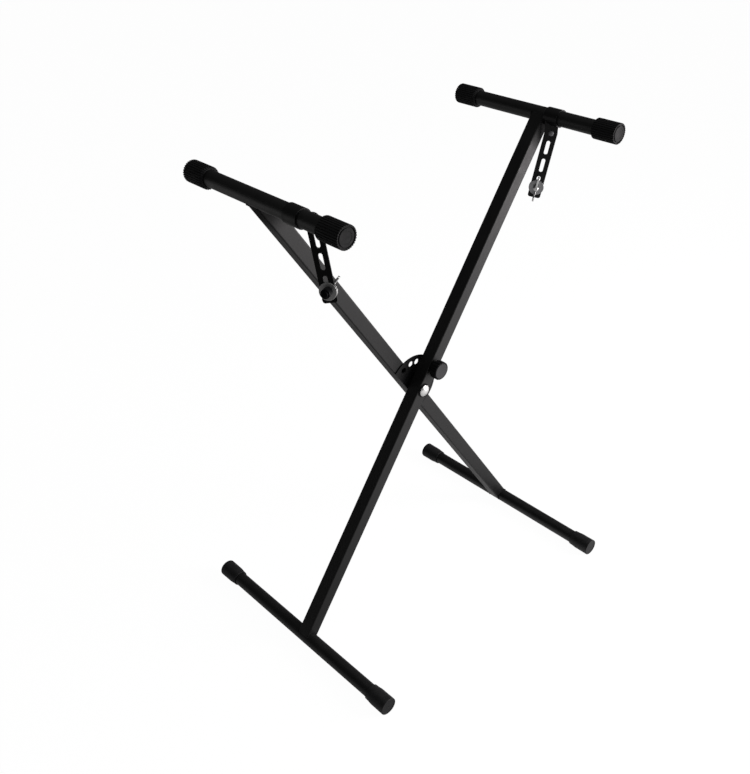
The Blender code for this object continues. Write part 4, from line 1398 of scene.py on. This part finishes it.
@dataclass
class PullLock:
    """The sprung lock pin with its housing in the front leg and its pull knob."""

    flange: float = 11.8 * MM
    flange_height: float = 5.0 * MM
    sleeve: float = 7.0 * MM
    sleeve_hole: float = 7.3 * MM
    stem_hole: float = 2.8 * MM
    chamber: float = 6.2 * MM
    nose_hole: float = 4.8 * MM
    nose: float = 4.0 * MM
    spring_seat: float = 2.0 * MM
    pin: float = 4.5 * MM
    pin_collar: float = 5.8 * MM
    pin_collar_length: float = 2.5 * MM
    pin_chamfer: float = 1.2 * MM
    stem: float = 2.5 * MM
    fit: float = 0.3 * MM
    knob: float = 16.5 * MM
    cup: float = 12.4 * MM
    face: float = 4.0 * MM
    hub: float = 6.0 * MM
    hub_length: float = 3.5 * MM
    socket_depth: float = 5.0 * MM
    disc: float = 13.9 * MM
    disc_thickness: float = 1.0 * MM
    dish: tuple[Ring, ...] = ((0.4 * MM, 0.30 * MM), (5.0 * MM, 0.24 * MM), (9.0 * MM, 0.14 * MM))
    knob_edge: float = 2.0 * MM
    flutes: int = 16
    columns: int = 8
    flute_depth: float = 0.75 * MM
    flute_reach: float = 0.9 * MM

    def __post_init__(self) -> None:
        """Find the lock's axis in the frame."""
        self.axis = middle("lock_pin")

    def place(self, node: str) -> Matrix:
        """A node's place: on the lock's axis, from its nearest point."""
        return away_from(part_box(node)[0].y, self.axis.x, self.axis.z)

    def build(self) -> None:
        """Make the housing, pin, knob and disc, and dress the spring."""
        self.housing()
        self.pin_with_collar()
        self.knob_cup()
        self.knob_face()
        spring = frame["nodes"]["lock_spring"]
        spring.data.materials.clear()
        spring.data.materials.append(PLAIN_STEEL.look("lock_spring", self.place("lock_spring")))

    def housing(self) -> None:
        """A flanged sleeve that holds the spring and guides the pin."""
        low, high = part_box("lock_housing")
        length = high.y - low.y
        edge = 0.6 * MM
        rings = [(self.stem_hole, 0.0), (self.flange - edge, 0.0), (self.flange, edge),
                 (self.flange, self.flange_height), (self.sleeve, self.flange_height), (self.sleeve, length),
                 (self.nose_hole, length), (self.nose_hole, length - self.nose),
                 (self.chamber, length - self.nose), (self.chamber, self.spring_seat),
                 (self.stem_hole, self.spring_seat)]
        sleeve = polish(lathe("lock_housing_moulded", rings, ring_shaped=True))
        settle(sleeve, self.place("lock_housing"))
        hand_over(sleeve, "lock_housing", KNOB_PLASTIC.look())

    def pin_with_collar(self) -> None:
        """Stem, collar and nose in one turned piece."""
        low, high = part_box("lock_pin")
        length = high.y - low.y
        spring_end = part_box("lock_spring")[1].y - low.y
        collar = spring_end + self.fit
        collar_end = collar + self.pin_collar_length
        rings = [(0.4 * MM, 0.0), (self.stem, 0.0), (self.stem, collar), (self.pin_collar, collar),
                 (self.pin_collar, collar_end), (self.pin, collar_end), (self.pin, length - self.pin_chamfer),
                 (self.pin - self.pin_chamfer, length), (0.4 * MM, length)]
        place = self.place("lock_pin")
        pin = polish(settle(lathe("lock_pin_turned", rings, 64), place))
        hand_over(pin, "lock_pin", PLAIN_STEEL.look("lock_pin", place))

    def knob_cup(self) -> None:
        """A fluted cup with a hub for the stem and a seat for the disc."""
        low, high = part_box("lock_knob")
        depth = high.y - low.y
        room, edge = self.disc + self.fit, self.knob_edge
        seat = self.disc_thickness + self.fit
        rings = [(0.5 * MM, seat), (room, seat), (room, 0.3 * MM), (room + 0.3 * MM, 0.0)]
        rings += bow((self.knob - edge, edge), edge, -pi / 2, 0.0, 6)
        rings += [(self.knob, depth * 0.35), (self.knob, depth * 0.65), (self.knob, depth - 0.5 * MM)]
        rings += [(self.knob - 0.4 * MM, depth), (self.cup, depth), (self.cup, self.face)]
        hub_end = self.face + self.hub_length
        socket, bottom = self.stem + self.fit, hub_end - self.socket_depth
        rings += [(self.hub, self.face), (self.hub, hub_end), (socket, hub_end), (socket, bottom),
                  (0.5 * MM, bottom)]
        knob = lathe("lock_knob_fluted", rings, sides=self.flutes * self.columns)
        self.cut_flutes(knob)
        settle(polish(knob), self.place("lock_knob"))
        hand_over(knob, "lock_knob", KNOB_PLASTIC.look())

    def cut_flutes(self, knob: Object) -> None:
        """Draw the knob's side in along shallow round flutes.

        Args:
            knob: The turned knob, still standing on the origin.
        """
        sides = self.flutes * self.columns
        for step in range(self.columns // 4 + 1):
            share = cos(step / (self.columns / 4) * pi / 2)
            if share < 0.01:
                continue

            def in_flute(place: Vector, step: int = step) -> bool:
                """Say whether a point is on the side, this many columns from a flute's middle."""
                column = round(atan2(place.y, place.x) / (2 * pi) * sides) % self.columns
                beside = min(column, self.columns - column)
                return hypot(place.x, place.y) > self.knob - self.flute_reach and beside == step

            with editing(knob):
                choose_points(knob, in_flute)
                scale = 1.0 - share * self.flute_depth / self.knob
                bpy.ops.transform.resize(value=(scale, scale, 1.0), center_override=(0.0, 0.0, 0.0))

    def knob_face(self) -> None:
        """The grey disc in the knob's end, very slightly dished."""
        edge = 0.3 * MM
        rings = [*self.dish, (self.disc - 1.4 * MM, 0.04 * MM), (self.disc - 0.9 * MM, 0.0),
                 (self.disc - edge, 0.0), (self.disc, edge), (self.disc, self.disc_thickness),
                 (0.4 * MM, self.disc_thickness)]
        place = self.place("lock_knob_disc")
        disc = polish(settle(lathe("lock_knob_disc_moulded", rings, 128), place))
        hand_over(disc, "lock_knob_disc", DISC_PLASTIC.look("lock_knob_disc", place))


# Collars, straps and clamps


@dataclass
class Hanger:
    """One collar on its arm, with the strap that hangs from it and the clamp in the strap."""

    side: Side
    bore: float = 12.8 * MM
    radius: float = 14.6 * MM
    ear: float = 11.0 * MM
    left_ear_top: float = 5.5 * MM
    shelf_clear: float = 0.8 * MM
    sheet: float = 2.0 * MM
    fit: float = 0.3 * MM
    rivet: float = 3.0 * MM
    rivet_head: float = 4.6 * MM
    rivet_rise: float = 1.4 * MM
    rivet_steps: int = 9
    half_width: float = 10.9 * MM
    strap_corner: float = 4.0 * MM
    strap_end: float = 115.0 * MM
    first_slot: float = 13.7 * MM
    slot_length: float = 23.8 * MM
    slot_gap: float = 7.6 * MM
    slot_width: float = 6.3 * MM
    last_slot_end: float = 101.9 * MM
    edge: float = 0.35 * MM
    strap_edge: float = 0.12 * MM
    nearly_all: float = 0.999

    def __post_init__(self) -> None:
        """Find the strap's and the ear's axes in the frame."""
        word = self.side.word
        facing = joint_axis(f"{word}_strap_swivel")
        down = joint_axis(f"{word}_clamp_slide")
        self.at = joint_at(f"{word}_strap_swivel")
        self.strap_place = axes_at(self.at, -facing, (-down).cross(-facing), -down)
        level = Vector((0.0, 0.0, 1.0)).cross(-facing).normalized()
        self.ear_place = axes_at(self.at, -facing, level, (-facing).cross(level))
        self.ear_middle = -self.sheet - self.fit

    def build(self) -> None:
        """Make the collar, the rivet and the strap."""
        hand_over(self.collar(), f"{self.side.word}_collar", COLLAR_PAINT.look())
        hand_over(self.strap(), f"{self.side.word}_strap", SHEET_PAINT.look())
        self.rivet_pin()

    def collar(self) -> Object:
        """A band round the arm, with an ear for the rivet.

        Returns:
            The collar.
        """
        node = f"{self.side.word}_collar"
        arm = middle(f"{self.side.word}_arm_tube")
        low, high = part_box(node)
        near, far = low.y, high.y
        length = far - near
        start = 0.5 * MM
        rings = [(start, 0.0), (self.radius, 0.0), (self.radius, length), (start, length)]
        band = settle(lathe(f"{node}_pressed", rings, 128), away_from(near, arm.x, arm.z))
        if self.side is Side.RIGHT:
            rise, top = arm.z - self.at.z - self.sheet, self.ear
        else:
            rise, top = self.rivet_head + self.shelf_clear + self.sheet, self.left_ear_top
        combine(band, self.ear_tab(rise, top), "UNION")
        if self.side is Side.LEFT:
            combine(band, self.shelf(arm, near, far, rise), "UNION")
        combine(band, stick(self.bore, length * 3, away_from((near + far) / 2, arm.x, arm.z), 128))
        across = self.ear_place @ Matrix.Rotation(pi / 2, 4, "Y")
        combine(band, stick(self.rivet + self.fit, self.sheet * 8, across, 48))
        soften(band, self.edge)
        return polish(band)

    def ear_tab(self, rise: float, top: float) -> Object:
        """A tab with a round lower end about the rivet, narrower or not at its upper edge.

        Args:
            rise: How far the tab goes up from the rivet.
            top: Half the width of its upper edge.

        Returns:
            The tab.
        """
        tab = block("ear", (self.sheet, 2 * self.ear, rise + self.ear),
                    (self.ear_middle, 0.0, (rise - self.ear) / 2))
        with editing(tab, "EDGE"):
            choose_edges(tab, lambda place, way: abs(way.x) > 0.9 and place.z < 0.0)
            bpy.ops.mesh.bevel(offset=self.ear * self.nearly_all, segments=16, affect="EDGES")
        with editing(tab):
            choose_points(tab, lambda place: place.z > rise - 0.1 * MM)
            bpy.ops.transform.resize(value=(1.0, top / self.ear, 1.0), center_override=(0.0, 0.0, 0.0))
        return settle(tab, self.ear_place)

    def shelf(self, arm: Vector, near: float, far: float, rise: float) -> Object:
        """The flange that carries the left ear out from its band.

        Args:
            arm: A place on the arm's axis.
            near: The band's near end in Y.
            far: Its far end in Y.
            rise: The ear's height above its rivet.

        Returns:
            The flange.
        """
        top = self.left_ear_top
        reach = [self.ear_place @ Vector((self.ear_middle, way * top, rise)) for way in (-1.0, 1.0)]
        level = reach[0].z - self.sheet / 2
        flange = block("shelf", (1.0, 1.0, self.sheet), (0.5, 0.5, 0.0))
        corners = {(0, 0): (arm.x, near), (0, 1): (arm.x, far),
                   (1, 0): (reach[0].x, reach[0].y), (1, 1): (reach[1].x, reach[1].y)}
        with editing(flange):
            for (x, y), (to_x, to_y) in corners.items():
                corner = Vector((x, y))
                choose_points(flange, lambda place, at=corner: (place.xy - at).length < 0.01)
                bpy.ops.transform.translate(value=(to_x - x, to_y - y, level))
        return flange

    def strap(self) -> Object:
        """A flat strap with a round top, rounded lower corners and three slots.

        Returns:
            The strap.
        """
        length = self.half_width + self.strap_end
        middle_z = (self.half_width - self.strap_end) / 2
        strap = block(f"{self.side.word}_strap_stamped", (self.sheet, 2 * self.half_width, length),
                      (0.0, 0.0, middle_z))
        for lower, corner in ((False, self.half_width * self.nearly_all), (True, self.strap_corner)):
            with editing(strap, "EDGE"):
                choose_edges(strap, lambda place, way, lower=lower: abs(way.x) > 0.9
                             and abs(place.y) > self.half_width * 0.9 and (place.z < middle_z) == lower)
                bpy.ops.mesh.bevel(offset=corner, segments=14, affect="EDGES")
        start = self.first_slot
        last = self.last_slot_end - self.first_slot - 2 * (self.slot_length + self.slot_gap)
        for slot_length in (self.slot_length, self.slot_length, last):
            cutter = stadium("slot", self.slot_width / 2, slot_length, self.sheet * 4)
            centre = Matrix.Translation((0.0, 0.0, -start - slot_length / 2))
            upright = Matrix(((0, 0, 1, 0), (1, 0, 0, 0), (0, 1, 0, 0), (0, 0, 0, 1)))
            combine(strap, settle(cutter, centre @ upright))
            start += slot_length + self.slot_gap
        combine(strap, stick(self.rivet + self.fit, self.sheet * 4, Matrix.Rotation(pi / 2, 4, "Y"), 48))
        soften(strap, self.strap_edge)
        return polish(settle(strap, self.strap_place))

    def rivet_pin(self) -> None:
        """A rivet with a low dome at each end."""
        node = f"{self.side.word}_rivet"
        low = self.ear_middle - self.sheet / 2 - self.fit
        high = self.sheet / 2 + self.fit
        angles = [pi / 2 * i / self.rivet_steps for i in range(self.rivet_steps)]
        dome = [(self.rivet_head * cos(a), self.rivet_rise * sin(a)) for a in angles]
        dome.append((0.3 * MM, self.rivet_rise))
        rings = [(radius, low - rise) for radius, rise in reversed(dome)]
        rings += [(self.rivet, low), (self.rivet, high)]
        rings += [(radius, high + rise) for radius, rise in dome]
        place = self.ear_place @ Matrix.Rotation(pi / 2, 4, "Y")
        pin = polish(settle(lathe(f"{node}_turned", rings, 64), place))
        hand_over(pin, node, RIVET_STEEL.look(node, place))


@dataclass
class Clamp:
    """The wing bolt in one strap, with its washers and its grip nut."""

    side: Side
    shank: float = 3.0 * MM
    bore: float = 3.3 * MM
    sheet: float = 2.0 * MM
    fit: float = 0.3 * MM
    washer: float = 12.9 * MM
    washer_thickness: float = 1.2 * MM
    washer_edge: float = 0.35 * MM
    grip: float = 7.0 * MM
    grip_height: float = 12.0 * MM
    grip_edge: float = 1.2 * MM
    boss: float = 4.4 * MM
    boss_height: float = 1.7 * MM
    boss_wall: float = 0.4 * MM
    boss_edge: float = 0.9 * MM
    thread_out: float = 1.0 * MM
    pitch: float = 1.0 * MM
    thread_depth: float = 0.35 * MM
    thread_tip: float = 0.4 * MM
    plain: float = 2.0 * MM
    hub: float = 5.2 * MM
    hub_top: float = 4.2 * MM
    hub_height: float = 9.0 * MM
    wing_thickness: float = 2.9 * MM
    wing_root: tuple[float, float, float] = (3.5 * MM, 4.0 * MM, 3.0 * MM)
    wing_tip: tuple[float, float, float] = (17.8 * MM, 9.0 * MM, 4.4 * MM)
    wing_turn: float = 0.0

    def __post_init__(self) -> None:
        """Find the bolt's axes in the frame: Z runs out to the wings."""
        word = self.side.word
        out = joint_axis(f"{word}_wing_spin")
        down = joint_axis(f"{word}_clamp_slide")
        turned_down = Matrix.Rotation(self.wing_turn, 3, out) @ down
        self.place = axes_at(joint_at(f"{word}_wing_spin"), -turned_down, out.cross(-turned_down), out)

    def build(self) -> None:
        """Make the two washers, the grip nut and the wing bolt."""
        face = self.sheet / 2 + self.fit
        self.flat_washer("wing_washer", face)
        self.flat_washer("nut_washer", -face - self.washer_thickness)
        self.grip_nut(-face - self.washer_thickness - self.fit)
        self.wing_bolt(face + self.washer_thickness + self.fit)

    def flat_washer(self, kind: str, start: float) -> None:
        """A pressed washer with rounded edges.

        Args:
            kind: Which washer: wing_washer or nut_washer.
            start: The height of its lower face.
        """
        node = f"{self.side.word}_{kind}"
        top = self.washer_thickness
        rings = [(self.bore, 0.0), (self.washer, 0.0), (self.washer, top), (self.bore, top)]
        ring = soften(lathe(f"{node}_pressed", rings, 128, ring_shaped=True), self.washer_edge, 3)
        place = self.place @ Matrix.Translation((0.0, 0.0, start))
        metal = WASHER_ZINC if self.side is Side.LEFT else WASHER_STEEL
        hand_over(polish(settle(ring, place)), node, metal.look(node, place))

    def grip_nut(self, start: float) -> None:
        """A round moulded nut, closed by a low boss over the bolt's tip.

        Args:
            start: The height of its face at the washer.
        """
        node = f"{self.side.word}_grip_nut"
        end, edge = -self.grip_height, self.grip_edge
        top = end - self.boss_height
        rings = [(0.4 * MM, top + self.boss_wall), (self.bore, top + self.boss_wall), (self.bore, 0.0),
                 (self.grip - 0.3 * MM, 0.0), (self.grip, -0.3 * MM)]
        rings += bow((self.grip - edge, end + edge), edge, 0.0, -pi / 2, 5)
        rings += [(self.boss + 0.3 * MM, end), (self.boss, end - 0.3 * MM)]
        rings += bow((self.boss - self.boss_edge, top + self.boss_edge), self.boss_edge, 0.0, -pi / 2, 4)
        rings += [(0.4 * MM, top)]
        nut = lathe(f"{node}_moulded", rings, 96)
        place = self.place @ Matrix.Translation((0.0, 0.0, start))
        hand_over(polish(settle(nut, place)), node, KNOB_PLASTIC.look())

    def wing_bolt(self, start: float) -> None:
        """A cast hub with two raised wings, on a threaded shank.

        Args:
            start: The height of the hub's lower face.
        """
        node = f"{self.side.word}_wing_bolt"
        top, height = self.hub_top, self.hub_height
        body = [(0.5 * MM, 0.0), (self.hub, 0.0), (self.hub, 0.6 * MM), (top, height - 1.0 * MM),
                (top - 1.0 * MM, height), (0.5 * MM, height)]
        lumps = [lathe(f"{node}_cast", body, 64)]
        wing = drop_plate("wing", self.wing_root, self.wing_tip, self.wing_thickness)
        for turn in (0.0, pi):
            lumps.append(copy_of(wing, "wing_copy", Matrix.Rotation(turn, 4, "Z")))
        bpy.data.objects.remove(wing, do_unlink=True)
        bolt = melt(f"{node}_cast", lumps, grain=0.28 * MM, rounds=5)
        end = -(start + self.grip_height + self.thread_out) - start
        rings = [(0.4 * MM, 1.0 * MM), (self.shank, 1.0 * MM), (self.shank, -self.plain)]
        rings += thread(self.shank, -self.plain, end + self.thread_tip, self.pitch, self.thread_depth)
        rings += [(self.shank - 0.7 * MM, end), (0.4 * MM, end)]
        combine(bolt, lathe("shank", rings, 48), "UNION")
        take(bolt)
        bpy.ops.object.shade_smooth_by_angle(angle=radians(50.0))
        place = self.place @ Matrix.Translation((0.0, 0.0, start))
        hand_over(settle(bolt, place), node, WING_ZINC.look(node, place))


# The studio


@dataclass
class Studio:
    """Floor, lights, world and camera."""

    eye: Vector = field(default_factory=lambda: Vector((-0.9848, -0.9770, 1.3082)))
    yaw: float = radians(42.50)
    pitch: float = radians(32.65)
    roll: float = radians(-0.90)
    lens: float = 43.5
    sensor: float = 36.0
    floor_size: float = 40.0
    floor_glow: float = 0.93
    floor_colour: Colour = (0.22, 0.22, 0.22)
    glow_colour: Colour = (1.0, 0.985, 0.985)
    sky: float = 0.10
    sky_in_gloss: float = 0.05
    # The floor's glow in reflections is a painted reflection, shaped as no real floor is.
    floor_in_gloss: tuple[float, float] = (0.30, 0.85)
    gloss_rise: tuple[float, float] = (-0.20, 0.90)
    gloss_fade: tuple[float, float] = (-1.60, -0.70)
    gloss_behind: tuple[float, float] = (0.70, 1.50)
    glow_far_left: float = 0.15
    glow_behind: float = 0.45
    white: float = 1.05

    def build(self) -> None:
        """Set everything up round the finished stand."""
        self.floor()
        self.world()
        self.lamp("key", at=(1.5, -2.0, 1.2), towards=(0.0, 0.0, 0.5), size=1.2, power=35.0,
                  colour=(1.0, 0.985, 0.975))
        self.lamp("low", at=(1.15, -1.15, 0.50), towards=(0.2, 0.0, 0.7), size=0.5, power=7.0,
                  colour=(1.0, 0.93, 0.95))
        self.lamp("top", at=(0.3, -0.6, 2.8), towards=(0.0, 0.0, 0.3), size=2.0, power=8.0,
                  colour=(1.0, 1.0, 1.0))
        self.camera()
        bpy.context.scene.view_settings.view_transform = "Standard"

    def floor(self) -> None:
        """A pale floor that the camera sees as white, with the stand's shadow kept. In reflections it glows
        unevenly as a painted reflection: brightest at the near right, dim at the far left, with a band
        behind.
        """
        bare_bench()
        bpy.ops.mesh.primitive_plane_add(size=self.floor_size)
        ground = just_made("studio_floor")
        look, wiring = new_look("studio_floor")
        rays = wiring.add("ShaderNodeLightPath")
        seen = wiring.math("MAXIMUM", rays.outputs["Is Camera Ray"], rays.outputs["Is Transmission Ray"])
        white = wiring.add("ShaderNodeEmission", {"Color": (1.0, 1.0, 1.0, 1.0), "Strength": self.white})
        paper = wiring.add("ShaderNodeBsdfDiffuse", {"Color": (1.0, 1.0, 1.0, 1.0)})
        shown = wiring.add("ShaderNodeMixShader", {
            0: self.floor_glow, 1: paper.outputs[0], 2: white.outputs[0]})
        bounce = wiring.add("ShaderNodeBsdfDiffuse", {"Color": (*self.floor_colour, 1.0)})
        # Painted reflection: the floor glows for glossy rays in a patch at the near right and a band behind,
        # to light the near faces.
        place = wiring.add("ShaderNodeSeparateXYZ", {0: placed(wiring, None)})
        near_right = wiring.math("SUBTRACT", place.outputs["X"], place.outputs["Y"])
        rise = wiring.spread(near_right, *self.gloss_rise, *self.floor_in_gloss)
        fade = wiring.spread(near_right, *self.gloss_fade, self.glow_far_left, 1.0)
        front = wiring.math("MULTIPLY", rise, fade)
        behind = wiring.spread(place.outputs["Y"], *self.gloss_behind, 0.0, self.glow_behind)
        lit = wiring.math("MAXIMUM", front, behind)
        glow = wiring.add("ShaderNodeEmission", {"Color": (*self.glow_colour, 1.0), "Strength": lit})
        mirrored = wiring.add("ShaderNodeMixShader", {
            0: rays.outputs["Is Glossy Ray"], 1: bounce.outputs[0], 2: glow.outputs[0]})
        both = wiring.add("ShaderNodeMixShader", {0: seen, 1: mirrored.outputs[0], 2: shown.outputs[0]})
        wiring.add("ShaderNodeOutputMaterial", {"Surface": both.outputs[0]})
        ground.data.materials.append(look)

    def world(self) -> None:
        """A white backdrop for the camera, and a soft even sky for everything else."""
        world = bpy.data.worlds.new("studio")
        world.use_nodes = True
        bpy.context.scene.world = world
        wiring = Wiring(world.node_tree)
        rays = wiring.add("ShaderNodeLightPath")
        seen = wiring.math("MAXIMUM", rays.outputs["Is Camera Ray"], rays.outputs["Is Transmission Ray"])
        gloss = rays.outputs["Is Glossy Ray"]
        dim = wiring.spread(gloss, 0.0, 1.0, self.sky, self.sky_in_gloss)
        strength = wiring.spread(seen, 0.0, 1.0, dim, 1.0)
        backdrop = wiring.add("ShaderNodeBackground", {"Color": (1.0, 1.0, 1.0, 1.0), "Strength": strength})
        wiring.add("ShaderNodeOutputWorld", {"Surface": backdrop.outputs[0]})

    def lamp(self, name: str, at: Sequence[float], towards: Sequence[float], size: float, power: float,
             colour: Colour) -> None:
        """A soft square lamp, pointed at a place.

        Args:
            name: The lamp's name.
            at: Where it is.
            towards: What it points at.
            size: Its side.
            power: Its power in watts.
            colour: Its light's colour.
        """
        data = bpy.data.lights.new(name, "AREA")
        data.energy = power
        data.size = size
        data.color = colour
        lamp = bpy.data.objects.new(name, data)
        lamp.location = at
        lamp.rotation_euler = (Vector(towards) - Vector(at)).to_track_quat("-Z", "Y").to_euler()
        bpy.context.scene.collection.objects.link(lamp)

    def camera(self) -> None:
        """The photograph's own viewpoint."""
        ahead = Vector((sin(self.yaw) * cos(self.pitch), cos(self.yaw) * cos(self.pitch), -sin(self.pitch)))
        level = Vector((cos(self.yaw), -sin(self.yaw), 0.0))
        upright = level.cross(ahead)
        right = level * cos(self.roll) + upright * sin(self.roll)
        up = upright * cos(self.roll) - level * sin(self.roll)
        data = bpy.data.cameras.new("photograph")
        data.lens = self.lens
        data.sensor_width = self.sensor
        eye = bpy.data.objects.new("photograph", data)
        eye.matrix_world = axes_at(self.eye, right, up, -ahead)
        bpy.context.scene.collection.objects.link(eye)
        bpy.context.scene.camera = eye


def main() -> None:
    """Build every sub-assembly, then the studio."""
    logging.basicConfig(level=logging.INFO, format="%(name)s: %(message)s")
    plate, lock = LockPlate(), PullLock()
    front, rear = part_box("front_leg"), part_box("rear_leg")
    CrossedLeg("front_leg", middle("front_leg").y, foot=Side.LEFT, arm=Side.RIGHT,
               lock_at=Vector((lock.axis.x, front[0].y, lock.axis.z)), lock_hole=lock.sleeve_hole,
               lock_depth=0.1).build()
    hole = plate.hole_at(plate.hole_angles[0])
    CrossedLeg("rear_leg", middle("rear_leg").y, foot=Side.RIGHT, arm=Side.LEFT,
               lock_at=plate.pivot + Vector((hole.x, rear[0].y, hole.y)), lock_hole=plate.hole,
               lock_depth=6.0 * MM).build()
    for side in Side:
        for end in End:
            FootCap(side, end).build()
            ArmCap(side, end).build()
    plate.build()
    Pivot().build()
    lock.build()
    for side, wing_turn in ((Side.LEFT, radians(45.0)), (Side.RIGHT, 0.0)):
        Hanger(side).build()
        Clamp(side, wing_turn=wing_turn).build()
    Studio().build()


if __name__ == "__main__":
    main()
